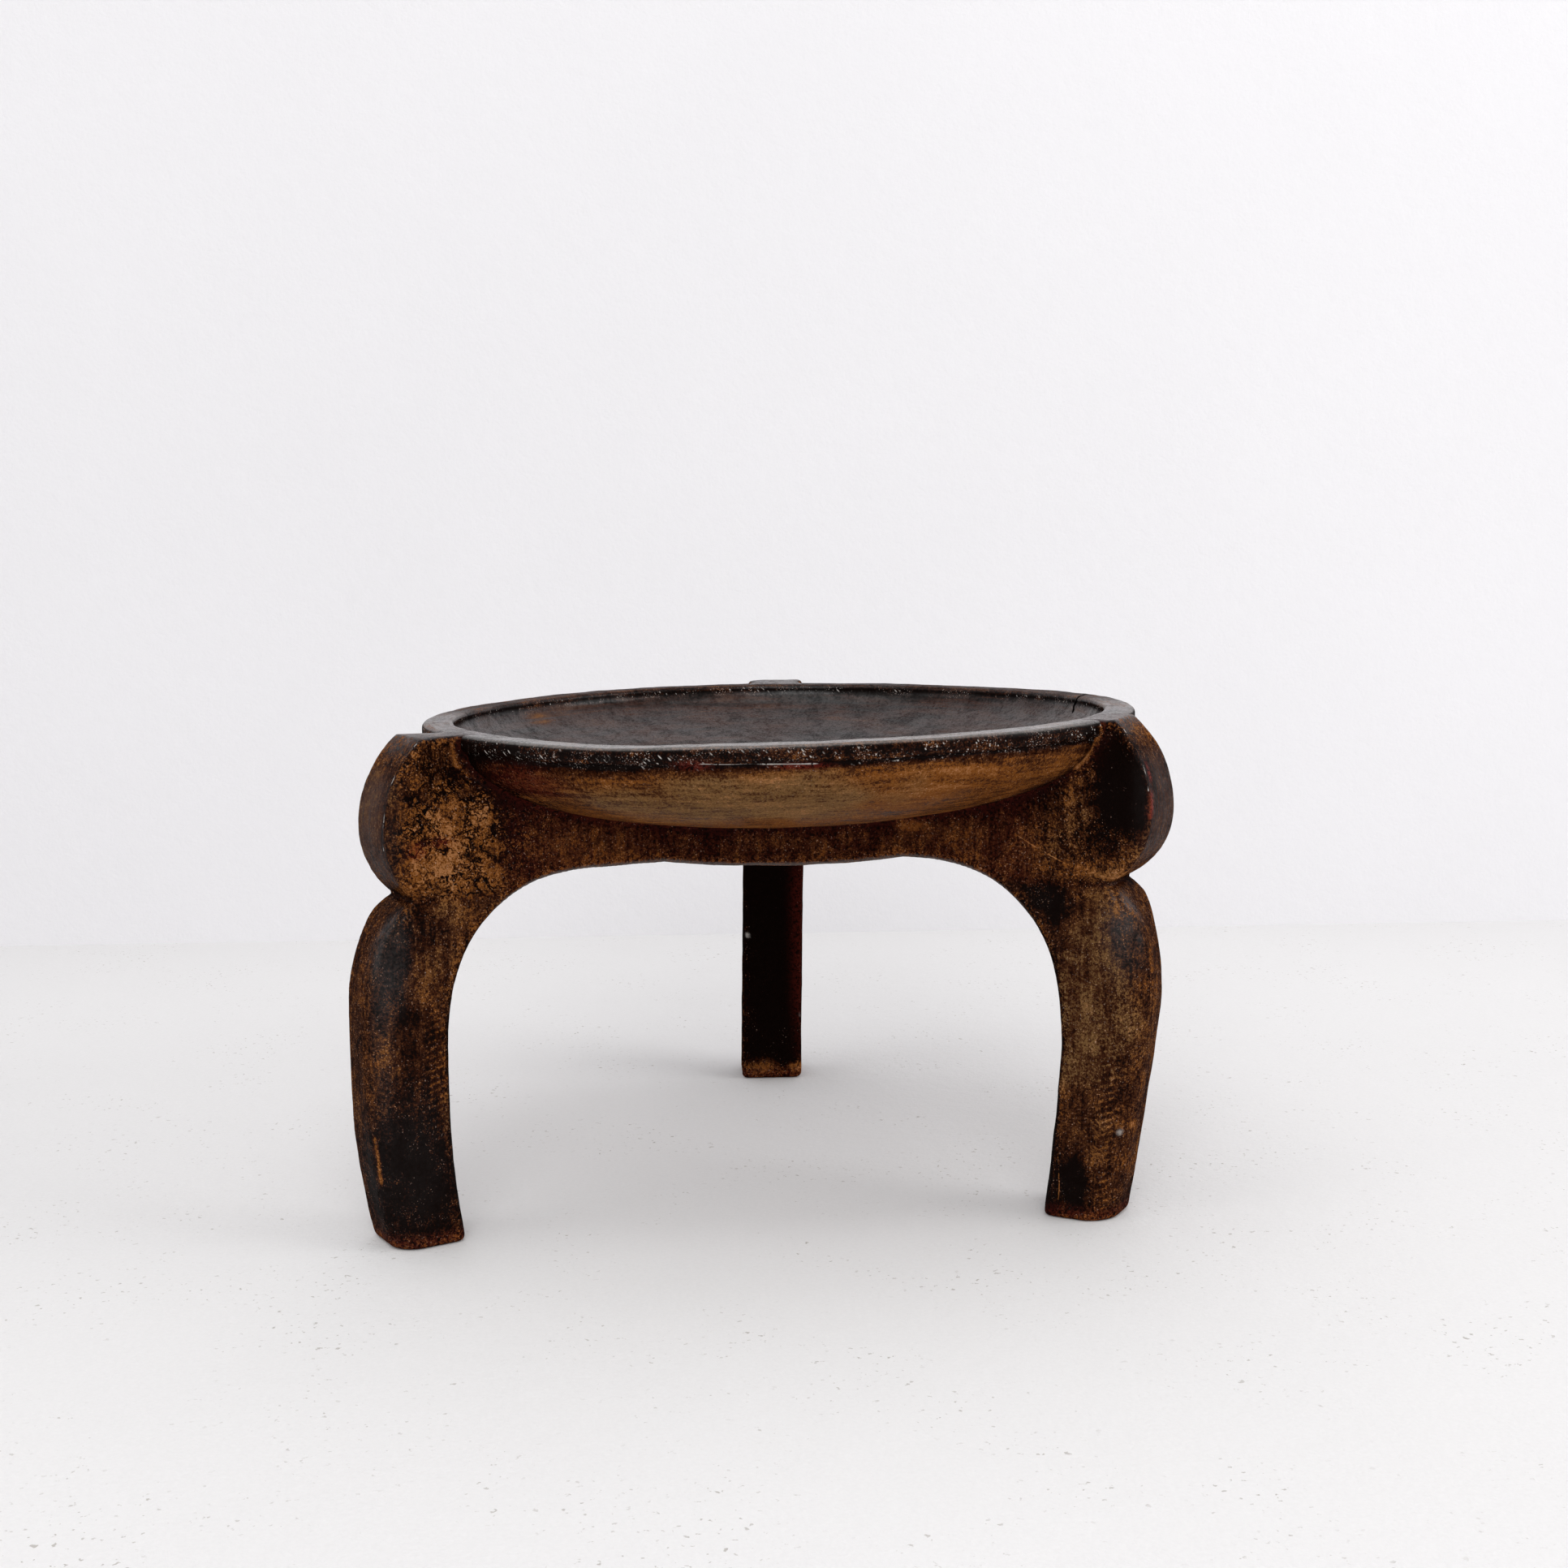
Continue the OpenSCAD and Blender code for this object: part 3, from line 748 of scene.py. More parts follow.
def run_tree(obj, tree, values):
    """Evaluates a tree on an object with its named inputs set, and keeps the result as a plain mesh."""
    modifier = obj.modifiers.new(tree.name, "NODES")
    modifier.node_group = tree
    for item in tree.interface.items_tree:
        if item.item_type == "SOCKET" and item.in_out == "INPUT" and item.name in values:
            modifier[item.identifier] = values[item.name]
    evaluated = obj.evaluated_get(bpy.context.evaluated_depsgraph_get())
    mesh = bpy.data.meshes.new_from_object(evaluated)
    obj.modifiers.remove(modifier)
    old, obj.data = obj.data, mesh
    bpy.data.meshes.remove(old)


# Meshes

def link(name, mesh):
    obj = bpy.data.objects.new(name, mesh)
    bpy.context.scene.collection.objects.link(obj)
    return obj


def mesh_from(name, points, faces):
    """A mesh of four-sided faces."""
    mesh = bpy.data.meshes.new(name)
    mesh.vertices.add(len(points))
    mesh.vertices.foreach_set("co", np.ascontiguousarray(points, np.float32).ravel())
    mesh.loops.add(faces.size)
    mesh.loops.foreach_set("vertex_index", np.ascontiguousarray(faces, np.int32).ravel())
    mesh.polygons.add(len(faces))
    mesh.polygons.foreach_set("loop_start", np.arange(0, faces.size, 4, dtype=np.int32))
    mesh.update(calc_edges=True)
    mesh.polygons.foreach_set("use_smooth", np.ones(len(faces), bool))
    return mesh


def read(items, key, width=1, kind=np.float32):
    """One value, or a row of them, from each item of a mesh's collection."""
    flat = np.zeros(len(items) * width, kind)
    items.foreach_get(key, flat)
    return flat.reshape(-1, width) if width > 1 else flat


def read_points(mesh):
    return read(mesh.vertices, "co", 3).astype(float)


def set_points(mesh, points):
    mesh.vertices.foreach_set("co", np.ascontiguousarray(points, np.float32).ravel())
    mesh.update()


def store(mesh, name, values, kind="FLOAT"):
    """Keeps one value, or one direction, for each point."""
    layer = mesh.attributes.get(name) or mesh.attributes.new(name, kind, "POINT")
    layer.data.foreach_set("vector" if kind == "FLOAT_VECTOR" else "value",
                           np.ascontiguousarray(values, np.float32).ravel())


def quads(mesh):
    """Corners of each face, with a three-sided face's last corner given twice."""
    start, total = (read(mesh.polygons, key, 1, np.int32) for key in ("loop_start", "loop_total"))
    corner = read(mesh.loops, "vertex_index", 1, np.int32)
    return corner[start[:, None] + np.minimum(np.arange(4), total[:, None] - 1)]


def face_directions(points, faces):
    a, b, c, d = (points[faces[:, i]] for i in range(4))
    return np.cross(c - a, d - b)


def point_directions(points, faces):
    """Even outward direction at each point."""
    each = face_directions(points, faces)
    total = sum(sum_at(faces[:, i], each, len(points)) for i in range(4))
    return total / np.maximum(np.linalg.norm(total, axis=1), 1e-12)[:, None]


def bulge(points, faces, outward, rounds):
    """How far each point stands out from its surroundings, in metres. It is negative in a hollow."""
    edges, even = edges_of(faces), points
    for _ in range(rounds):
        even = neighbour_mean(even, edges)
    return ((points - even) * outward).sum(1)


def from_axis(points):
    """Millimetres from the seat's axis, for points in metres."""
    return (points - np.array(AXIS_FOOT)) / MM


def cut_member(name, material):
    """Parts one member from the block, closed at its seams, with the block's own shading at them."""
    block = bpy.data.objects[BLOCK].data
    faces = read(block.loops, "vertex_index", 1, np.int32).reshape(-1, 4)
    sides = np.stack([read(block.attributes[key].data, "value", 1, np.int32) for key in SIDES], 1)
    points, outward = read_points(block), read(block.attributes["outward"].data, "vector", 3)
    number = MEMBERS.index(name)
    ahead, behind = sides[:, 0] == number, sides[:, 1] == number
    own = np.concatenate([faces[ahead], faces[behind][:, ::-1]])
    skin = np.concatenate([sides[ahead, 1], sides[behind, 0]]) == 0
    used, own = np.unique(own, return_inverse=True)
    own = own.reshape(-1, 4)
    mesh = mesh_from(name + "_look", points[used], own)
    for key in SETS:
        store(mesh, key, read(block.attributes[key].data, "vector", 3)[used], "FLOAT_VECTOR")
    flat = face_directions(points[used], own)
    flat /= np.maximum(np.linalg.norm(flat, axis=1), 1e-12)[:, None]
    loops = np.where(np.repeat(skin, 4)[:, None], outward[used][own.ravel()], np.repeat(flat, 4, 0))
    mesh.normals_split_custom_set(loops.tolist())
    mesh.materials.append(material)
    obj = link(name + "_look", mesh)
    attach(obj, BODY)
    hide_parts(name)


def part_members(kind, material):
    """Parts the hub, or the like members of all three legs, from the block."""
    for name in MEMBERS[1:]:
        if name.split("_")[0] == kind:
            cut_member(name, material)


# Finishes

# Places where use or the maker has changed the finish, and a few where shadow is painted: channel, place in
# millimetres from the seat's axis, reach level and upright in millimetres, and amount
TOUCHES = (
    # left lug and arm: bare flaking side, painted shadow under the rim beside the neck, smooth outer face
    ("bare", -141, -102, 181, 28, 24, 0.38), ("bare", -145, -104, 197, 6, 4, 0.22),
    ("bare", -152, -105, 161, 18, 3.5, 0.12), ("bare", -126, -93, 191, 5, 8, -0.34),
    ("bare", -119, -88, 184, 5, 6, -0.25), ("bare", -150, -105, 217, 7, 6, -0.10),
    ("bare", -134, -97, 173, 8, 6, -0.14), ("flake", -138, -100, 184, 32, 26, 1.0),
    ("polish", -183, -102, 195, 12, 28, 0.10), ("bare", -183, -102, 195, 12, 28, 0.10),
    ("red", -160, -110, 178, 5, 4, 0.40), ("red", -150, -105, 181, 6, 2.5, 0.35),
    # right lug and arm: black above, partly dark patina and partly painted shadow of the neck's scoop, brown
    # and speckled below, tan along the groove
    ("bare", 147, -101, 203, 11.5, 24, -0.95), ("bare", 134, -93, 184, 22, 15, -0.20),
    ("olive", 134, -94, 176, 26, 20, 0.25),
    ("bare", 134, -94, 173, 16, 8, -0.06), ("bare", 144, -98, 160, 22, 3.5, 0.12),
    ("bare", 133, -93, 187, 4, 3, 0.25), ("polish", 169, -91, 195, 14, 28, 0.04),
    ("bare", 169, -91, 195, 14, 28, -0.04),
    # The touches at x -122 and -120 paint more shadow under the rim beside the left lug's neck
    ("bare", 112, -82, 170, 14, 9, 0.05), ("bare", -122, -90, 196, 6, 5, -0.20),
    ("bare", -120, -88, 186, 12, 10, -0.16),
    # apron: orange patch and the darker middle
    ("bare", 59, -54, 178.5, 9, 3.6, 0.62), ("bare", 0, -43, 170, 40, 20, -0.03),
    ("bare", 75, -62, 174, 20, 10, 0.12), ("bare", -84, -68, 174, 28, 12, 0.20),
    ("bare", 0, -45, 172, 60, 8, 0.06),
    # left leg: dark oiled front, orange column with rungs, dark shin, worn left edge
    ("bare", -173, -117, 130, 8, 30, -0.30), ("polish", -173, -117, 134, 9, 24, 0.7),
    ("polish", -176, -117, 100, 5, 40, 0.35),
    ("bare", -158, -111, 122, 3, 22, 0.20), ("bare", -153, -108, 90, 4, 34, 0.14),
    ("bare", -165, -113, 95, 22, 55, -0.11), ("bare", -160, -110, 140, 14, 12, -0.12),
    ("bare", -184, -109, 118, 6, 22, 0.12), ("bare", -168, -114, 36, 26, 32, -0.46),
    ("hatch", -155, -109, 84, 5, 36, 1.0),
    ("bare", -160, -110, 146, 14, 8, -0.16), ("bare", -146, -104, 150, 8, 6, 0.08),
    ("polish", -168, -114, 40, 20, 34, 0.12),
    # right leg: olive and speckled, black by the arch and at the foot's inner edge
    ("bare", 137, -95, 80, 18, 34, 0.06), ("olive", 137, -95, 100, 20, 50, 0.8),
    ("bare", 119, -86, 147, 12, 9, -0.50), ("bare", 129, -91, 18, 7, 12, -0.75),
    ("polish", 150, -102, 137, 10, 20, 0.9), ("bare", 150, -102, 137, 7, 14, -0.20),
    ("bare", 132, -92, 144, 18, 12, 0.16), ("bare", 140, -95, 10, 16, 12, -0.08),
    ("hatch", 143.5, -97, 61, 3.6, 26, 1.3), ("hatch", 143, -96, 14, 4, 9, 1.0),
    ("bare", 140, -97, 120, 10, 12, 0.10), ("bare", 121, -87.5, 100, 3, 40, -0.25),
    # rear leg: nearly black, with a worn foot
    ("bare", 16, 166, 100, 5, 60, 0.22), ("red", 14, 166, 80, 6, 60, 0.25),
    ("bare", 0, 165, 5, 20, 7, 0.18), ("bare", 0, 168, 90, 60, 80, -0.62),
    ("polish", 0, 168, 90, 60, 90, -0.13), ("bare", 0, 185, 226, 30, 10, -0.3),
    ("bare", -8, 164, 7, 10, 5, 0.55),
    ("bare", 12, 164, 6, 8, 4, 0.50), ("bare", -17, 168, 60, 2.5, 60, 0.30), ("bare", 3, 164, 12, 3, 5, -0.4),
    ("dust_and_highlight", -16, 169, 82.5, 1.2, 1.2, 0.9), ("dust_and_highlight", 14.5, 167, 36, 1.2, 1.2, 0.9),
    ("dust_and_highlight", 149.5, -97, 42.7, 1.5, 1.3, 0.65), ("bare", 155.6, -93, 45.3, 1.8, 1.8, 0.5),
    # seat: tan patch in the hollow, orange and olive underside, red trace under the rim
    ("bare", -124, 87, 218, 9, 9, 0.22), ("bare", -112, 98, 217, 22, 10, 0.12),
    ("bare", 84, -138, 210, 26, 6, 0.10), ("olive", 95, -132, 211, 34, 16, -0.9),
    ("bare", -112, -116, 211, 34, 16, -0.28), ("red", -112, -118, 208, 24, 8, 0.25),
    ("olive", -20, -155, 203, 70, 14, 0.9), ("red", -38, -163, 219.8, 8, 2.2, 0.45),
    ("red", 5, -166, 219.5, 12, 1.4, 0.5), ("bare", -5, -160, 214, 20, 3, 0.12),
    ("bare", 0, -150, 204, 60, 12, 0.15), ("bare", 100, -134, 222, 30, 4, 0.12),
)
# Long scratches and cracks, through places in millimetres from the seat's axis
SCRATCHES = (((101.4, -76, 178.2), (112, -81.8, 171.5), (125.1, -89.1, 164.4)),
             ((122.6, -87.7, 31), (123.4, -87.9, 16), (122.9, -86.9, 2)))
CRACKS = (((156, 47, 227.6), (151.5, 38.2, 227.4), (150.3, 38.3, 225.4), (149.3, 40, 222.8),
           (148.5, 37.1, 220.2)),)
# Glints on sharp edges: the lugs' near arrises, and the rim's lower edge
LUG_GLINTS = (((-158.3, -108.5, 224.3), (-168.1, -113.7, 209.3), (-172.2, -116.1, 192.4),
               (-172.8, -115.0, 179.2)),
              ((149.8, -96.7, 224.9), (157.4, -104.4, 208.1), (158.8, -106.3, 199)))
RIM_GLINTS = (((-35, -165.0, 220.6), (-23, -166.8, 220.4), (9.9, -166.5, 220.2), (45.6, -160.2, 220.3)),)
# Ridges and dark lines: channel, half width in millimetres, amount, and the places they pass
RIDGES = (
    ("bare", 1.8, -0.30, (-157.3, -108.3, 224.3), (-162.6, -111.8, 216.7), (-167.1, -113.2, 209.3),
     (-169.6, -114.3, 202.4), (-171.2, -115.6, 192.4), (-172.4, -114.5, 183.1), (-171.8, -114.5, 179.2)),
    ("bare", 1.6, 1.00, (139.4, -97.0, 226.2), (138.4, -94.3, 220.9), (135.6, -94.2, 215.5),
     (129.8, -92.6, 208.2)),
    ("bare", 2.0, 0.35, (129.8, -92.6, 208.2), (127.5, -91.5, 200), (127.5, -91.0, 192)),
    ("bare", 1.3, 0.50, (-141.9, -92.2, 226.2), (-144.4, -94.9, 223.3), (-144.6, -94.7, 219.7),
     (-144.0, -94.5, 215.1), (-139.1, -93.1, 208.7)),
    ("bare", 1.4, 0.40, (-163.5, -111.4, 161.8), (-156.0, -109.5, 165.3), (-146.8, -104.2, 168.1)),
    ("bare", 1.3, 0.32, (125, -89.5, 164.5), (131.2, -92.0, 163.4), (143.1, -96.7, 158.5),
     (151.8, -98.4, 161.2)),
    ("bare", 1.2, 0.75, (-181.1, -116.3, 52.4), (-180.1, -115.7, 42.0), (-179.3, -114.9, 30.7)),
    ("bare", 2.6, -0.45, (119.5, -85.5, 120), (119.5, -85.5, 80), (120, -86, 45)),
    ("bare", 5.0, -0.70, (118.5, -84.5, 38), (118.5, -84.5, 4)),
    ("red", 1.5, 0.95, (160.3, -100.5, 211), (160.9, -102.5, 204)),
    ("red", 1.5, 0.95, (160.6, -105.0, 197), (160.4, -106.4, 187.9)),
)
# What the meshes tell the finish, from 0 to 1: patina worn through (its low values also paint a few shadows),
# olive in place of orange, red earth, flaking, rungs of cuts, gloss, worn high places, darker low places, the
# bevel with its painted reflection, nicks with their painted glints, dust with a painted highlight, and
# smoothness
CHANNELS = ("bare", "olive", "red", "flake", "hatch", "polish", "wear", "concavity", "bevel", "nicks_and_glints",
            "dust_and_highlight", "calm")
SETS = ("tone", "marks", "shape", "cuts")

# Sizes of the finish's small marks
FINE_LINE = 0.00045                 # half width of scratches and glints, in metres
CRACK_LINE = 0.0013                 # half width of a crack
LINE_CORE = 0.35                    # share of a line's half width that is solid
CRACK_TINT = (0.001, 0.0008, 0.0007, 1)
PLATES, HAIRS = 135.0, 400.0        # flaking plates, and the hair cracks in them, to the metre
PLATE_BEND = 0.008                  # how far the plates' outlines wander, in metres
PLATE_FALL = (0.66, 0.38, -0.64)    # the way the plates are drawn out
PLATE_DRAW = 0.55                   # how much they are drawn out, 1 is without end
LEG_GRAIN = (520, 520, 42)          # runs of the upright grain to the metre along each axis
SEAT_GRAIN = (380, 380, 5.5)        # runs of the turned grain to the metre out and up, and in a radian round
NICKS = (520, 520, 130)             # places for nicks to the metre along each axis
NICK_TURN = (0.5, 0.7, 0.4)         # slant of the nicks
COAT_ROUGHNESS = 0.26

# Room and lamps, in metres
ROOM_HALF, ROOM_HEIGHT = 6, 5
SPECKLE_TINT = (0.42, 0.39, 0.36, 1)
LAMP_AIM = (0, 0, 0.1)
# Name, place, watts and size of each lamp
LAMPS = (("Ceiling", (-0.2, -0.45, 2.1), 10.5, 1.7), ("Front", (-0.1, -2.4, 1.7), 28, 1.6),
         ("Left window", (-2.1, -0.6, 1.1), 5, 1.4), ("Right window", (2.1, -0.5, 1.1), 18, 1.4))


def distance_to_line(place, ends):
    """Distance of each place from a bent line."""
    near = np.full(len(place), np.inf)
    for a, b in zip(ends, ends[1:]):
        a, b = np.array(a, float), np.array(b, float)
        t = np.clip((place - a) @ (b - a) / ((b - a) @ (b - a)), 0, 1)
        near = np.minimum(near, np.linalg.norm(place - a - t[:, None] * (b - a), axis=1))
    return near


def touch_up(levels, place):
    """Adds each touch and ridge to its channel, fading out round its place."""
    for channel, half, amount, *ends in RIDGES:
        levels[channel] = levels[channel] + amount * np.exp(-(distance_to_line(place, ends) / half) ** 2)
    for channel, x, y, z, wide, tall, amount in TOUCHES:
        away = ((place[:, 0] - x) ** 2 + (place[:, 1] - y) ** 2) / wide ** 2 \
            + ((place[:, 2] - z) / tall) ** 2
        levels[channel] = levels[channel] + amount * np.exp(-away ** 1.5)
    return levels


def keep_levels(mesh, levels):
    """Stores the channels in sets of three."""
    for i, name in enumerate(SETS):
        values = [np.broadcast_to(levels[c], len(mesh.vertices)) for c in CHANNELS[i * 3:i * 3 + 3]]
        store(mesh, name, np.stack(values, 1), "FLOAT_VECTOR")


def line_mask(bench, place, ends, width):
    """1 along a fine broken line through places in millimetres from the seat's axis."""
    near = None
    for a, b in zip(ends, ends[1:]):
        a, b = (Vector(p) * MM + AXIS_FOOT for p in (a, b))
        along = b - a
        off = bench.vectors("SUBTRACT", place, a)
        t = bench.vectors("DOT_PRODUCT", off, along / along.length_squared, out="Value")
        foot = bench.vectors("SCALE", along, t.at_least(0).at_most(1))
        away = bench.vectors("DISTANCE", off, foot, out="Value")
        near = away if near is None else near.at_most(away)
    return near.ease(width, width * LINE_CORE)


def new_finish(name):
    """A new material, with a bench for its nodes and its shader."""
    material = bpy.data.materials.new(name)
    material.use_nodes = True
    return material, Bench(material.node_tree), material.node_tree.nodes["Principled BSDF"]


def carved_wood(name, finish, turned=False, scratches=(), glints=(), cracks=()):
    """Oiled wood: black patina worn through brown to bare wood where the mesh's channels say, with painted
    highlights and a painted reflection in its colour.
    """
    material, bench, shader = new_finish(name)
    place = bench.add("ShaderNodeTexCoord", out="Object")
    sets = [bench.parts(bench.add("ShaderNodeAttribute", {"attribute_name": key}, out="Vector"))
            for key in SETS]
    bare, olive, red, flake, hatch, polish, wear, concavity, bevel, nicks_and_glints, dust_and_highlight, calm = sum(sets, [])
    x, y, z = bench.parts(place)

    broad = bench.noise(place, 26)
    blotch = bench.noise(place, 95, 5, 0.66, 0.9)
    mottle = bench.noise(place, 760, 3, 0.66, 0.5)
    speck = bench.noise(place, 1450, 2, 0.60)
    if turned:
        away_x, away_y = x - SEAT_AXIS.x, y - SEAT_AXIS.y
        reach = (away_x * away_x + away_y * away_y) ** 0.5
        swing = bench.add("ShaderNodeMath", {"operation": "ARCTAN2"}, {0: away_y, 1: away_x})
        grain = bench.noise(bench.vectors("MULTIPLY", bench.vector(reach, z, swing), SEAT_GRAIN),
                            1, 3, 0.6, 0.3)
    else:
        grain = bench.noise(bench.vectors("MULTIPLY", place, LEG_GRAIN), 1, 3, 0.6, 0.4)

    rough_hand = 1 - calm * 0.75
    crisp = mottle.ease(0.39, 0.61)
    fleck = speck.ease(0.58, 0.68) * blotch.ease(0.40, 0.60)
    pit = speck.ease(0.43, 0.35)
    streaks = 1.15 - calm * 0.35 if turned else 0.75
    # concavity makes small hollows and creases darker
    level = (bare + ((blotch - 0.5) * 1.10 + (crisp - 0.5) * 0.28 + fleck * 0.60 - pit * 0.34) * rough_hand
             + (broad - 0.5) * 0.55 + (grain - 0.5) * streaks + wear * (crisp * 0.32 - 0.03) - concavity * 0.20)

    # plates of flaking patina, parted by cracks
    swirl = bench.noise(place, 260.0, 3.0, out="Color")
    shift = bench.vectors("ADD", swirl, (-0.5, -0.5, -0.5))
    bent = bench.vectors("MULTIPLY_ADD", shift, (PLATE_BEND,) * 3, place)
    down = bench.vectors("DOT_PRODUCT", bent, PLATE_FALL, out="Value")
    bent = bench.vectors("SUBTRACT", bent, bench.vectors("SCALE", PLATE_FALL, down * PLATE_DRAW))
    plate = bench.add("ShaderNodeTexVoronoi", None, {"Vector": bent, "Scale": PLATES}, out="Color")
    tone, _, gate = bench.parts(plate)
    seam, hair = (bench.add("ShaderNodeTexVoronoi", {"feature": "DISTANCE_TO_EDGE"},
                            {"Vector": bent, "Scale": scale}) for scale in (PLATES, HAIRS))
    crackle = (seam.ease(0.085, 0.030) * gate.ease(0.20, 0.50)
               + hair.ease(0.16, 0.05) * blotch.ease(0.42, 0.54) * 0.7) * flake
    scrape = bench.noise(bent, 190.0, 4.0, 0.7)
    level = level + ((tone - 0.50) * 0.34 + (scrape - 0.5) * 1.5 + (speck - 0.5) * 0.9) * flake \
        - crackle * 0.85

    # rungs of fine cuts down the legs
    rung = ((z - x * 0.3) * (math.tau / finish.rung) + blotch * 3.5).sin()
    level = level + (rung.ease(0.45, 0.90) * 0.30 - rung.ease(0.0, -0.7) * 0.24) * hatch * crisp

    # nicks
    slanted = bench.add("ShaderNodeVectorRotate", {"rotation_type": "EULER_XYZ"},
                        {"Vector": place, "Rotation": NICK_TURN})
    cell = bench.add("ShaderNodeTexVoronoi", None, {
        "Vector": bench.vectors("MULTIPLY", slanted, NICKS), "Scale": 1.0}, out="Distance")
    nick = cell.ease(0.22, 0.07) * bench.noise(place, 55).ease(0.44, 0.56)
    level = level + nick * 0.28 * (1 - calm * 0.4)

    for ends in scratches:
        level = level + line_mask(bench, place, ends, FINE_LINE) * mottle.ease(0.38, 0.5) * 0.75

    def paint(tint):
        return (*tint, 1)

    hue = (olive + (broad - 0.5) * 1.6).ease(0.2, 0.8)
    worn = bench.blend(hue, paint(finish.ochre), paint(finish.olive))
    tint = bench.blend(level.ease(0.02, 0.30), paint(finish.patina), paint(finish.umber))
    tint = bench.blend(level.ease(0.24, 0.50), tint, paint(finish.brown))
    tint = bench.blend(level.ease(0.44, 0.72), tint, worn)
    tint = bench.blend(level.ease(0.70, 1.20) * 0.75, tint, paint(finish.tan))
    tint = bench.blend((red * mottle.ease(0.36, 0.56)).at_most(1), tint, paint(finish.red))
    # painted reflection of the bright floor on the bevel along the arches, put into the base colour
    tint = bench.blend((bevel * (0.55 + mottle * 0.5)).at_most(1), tint, paint(finish.bevel_reflection))
    # Pale marks: real dust, nicks and pale specks, mixed with painted highlights: the rim band's highlight,
    # the nicks' glints, white sparkle specks and the glint lines below
    chalk_and_glint = dust_and_highlight * (0.8 + crisp * 0.4) \
        + (nick + speck.ease(0.61, 0.68) * blotch.ease(0.46, 0.60) * 0.8) * nicks_and_glints \
        + speck.ease(0.66, 0.72) * level.ease(0.15, 0.45) * (0.40 - calm * 0.3)
    for ends in glints:
        chalk_and_glint = chalk_and_glint + line_mask(bench, place, ends, FINE_LINE) * mottle.ease(0.38, 0.48)
    tint = bench.blend(chalk_and_glint.at_most(1), tint, paint(finish.chalk_and_glint))

    height = blotch * 0.5 + mottle * 0.42 + speck * 0.16 + grain * 0.22 + level.at_most(1.2) * 0.30 \
        - crackle * 0.8
    gloss = polish * (1.1 - level.ease(0.25, 0.8)) * (mottle.ease(0.34, 0.60) * 0.45
                                                     + blotch.ease(0.36, 0.60) * 0.35 + 0.30)
    for ends in cracks:
        gap = line_mask(bench, place, ends, CRACK_LINE)
        tint = bench.blend(gap, tint, CRACK_TINT)
        height, gloss = height - gap * 2.5, gloss * (1 - gap)
    bump = bench.add("ShaderNodeBump", None, {"Strength": 1.0, "Distance": finish.relief, "Height": height})
    rough = 0.40 + level.ease(0.15, 0.85) * 0.30 + (mottle - 0.5) * 0.35
    bench.feed(shader, {"Base Color": tint, "Roughness": rough, "Coat Weight": gloss.at_most(1),
                        "Coat Roughness": COAT_ROUGHNESS, "Specular IOR Level": 0.0, "Normal": bump})
    return material


def painted(name, tint, speckled):
    """Matt paint with clouds and grit in it, clear from behind and below so that the stool shows."""
    material, bench, shader = new_finish(name)
    place = bench.add("ShaderNodeTexCoord", out="Object")
    cloud = bench.noise(place, 2.2, 4, 0.6)
    grit = bench.noise(place, 520, 3, 0.7)
    stain = (cloud - 0.5) * 0.9 + (grit - 0.5) * 1.6 * speckled + 0.5
    tone = bench.blend(stain.at_least(0).at_most(1), (*(c * 0.955 for c in tint), 1),
                       (*(min(c * 1.03, 1) for c in tint), 1))
    specks = bench.noise(place, 300, 2, 0.6)
    speckle = specks.ease(0.64, 0.70) * bench.noise(place, 14, 4, 0.7).ease(0.46, 0.62) * speckled
    bump = bench.add("ShaderNodeBump", None, {
        "Strength": 0.5, "Distance": 0.001, "Height": grit * 0.5 + bench.noise(place, 90, 3, 0.6)})
    bench.feed(shader, {"Base Color": bench.blend(speckle, tone, SPECKLE_TINT), "Roughness": 0.85,
                        "Normal": bump})
    skin = bench.add("ShaderNodeMixShader", None, {
        0: bench.add("ShaderNodeNewGeometry", out="Backfacing"), 1: Wire(bench, shader.outputs[0]),
        2: bench.add("ShaderNodeBsdfTransparent")})
    bench.feed(material.node_tree.nodes["Material Output"], {"Surface": skin})
    return material


# Operators

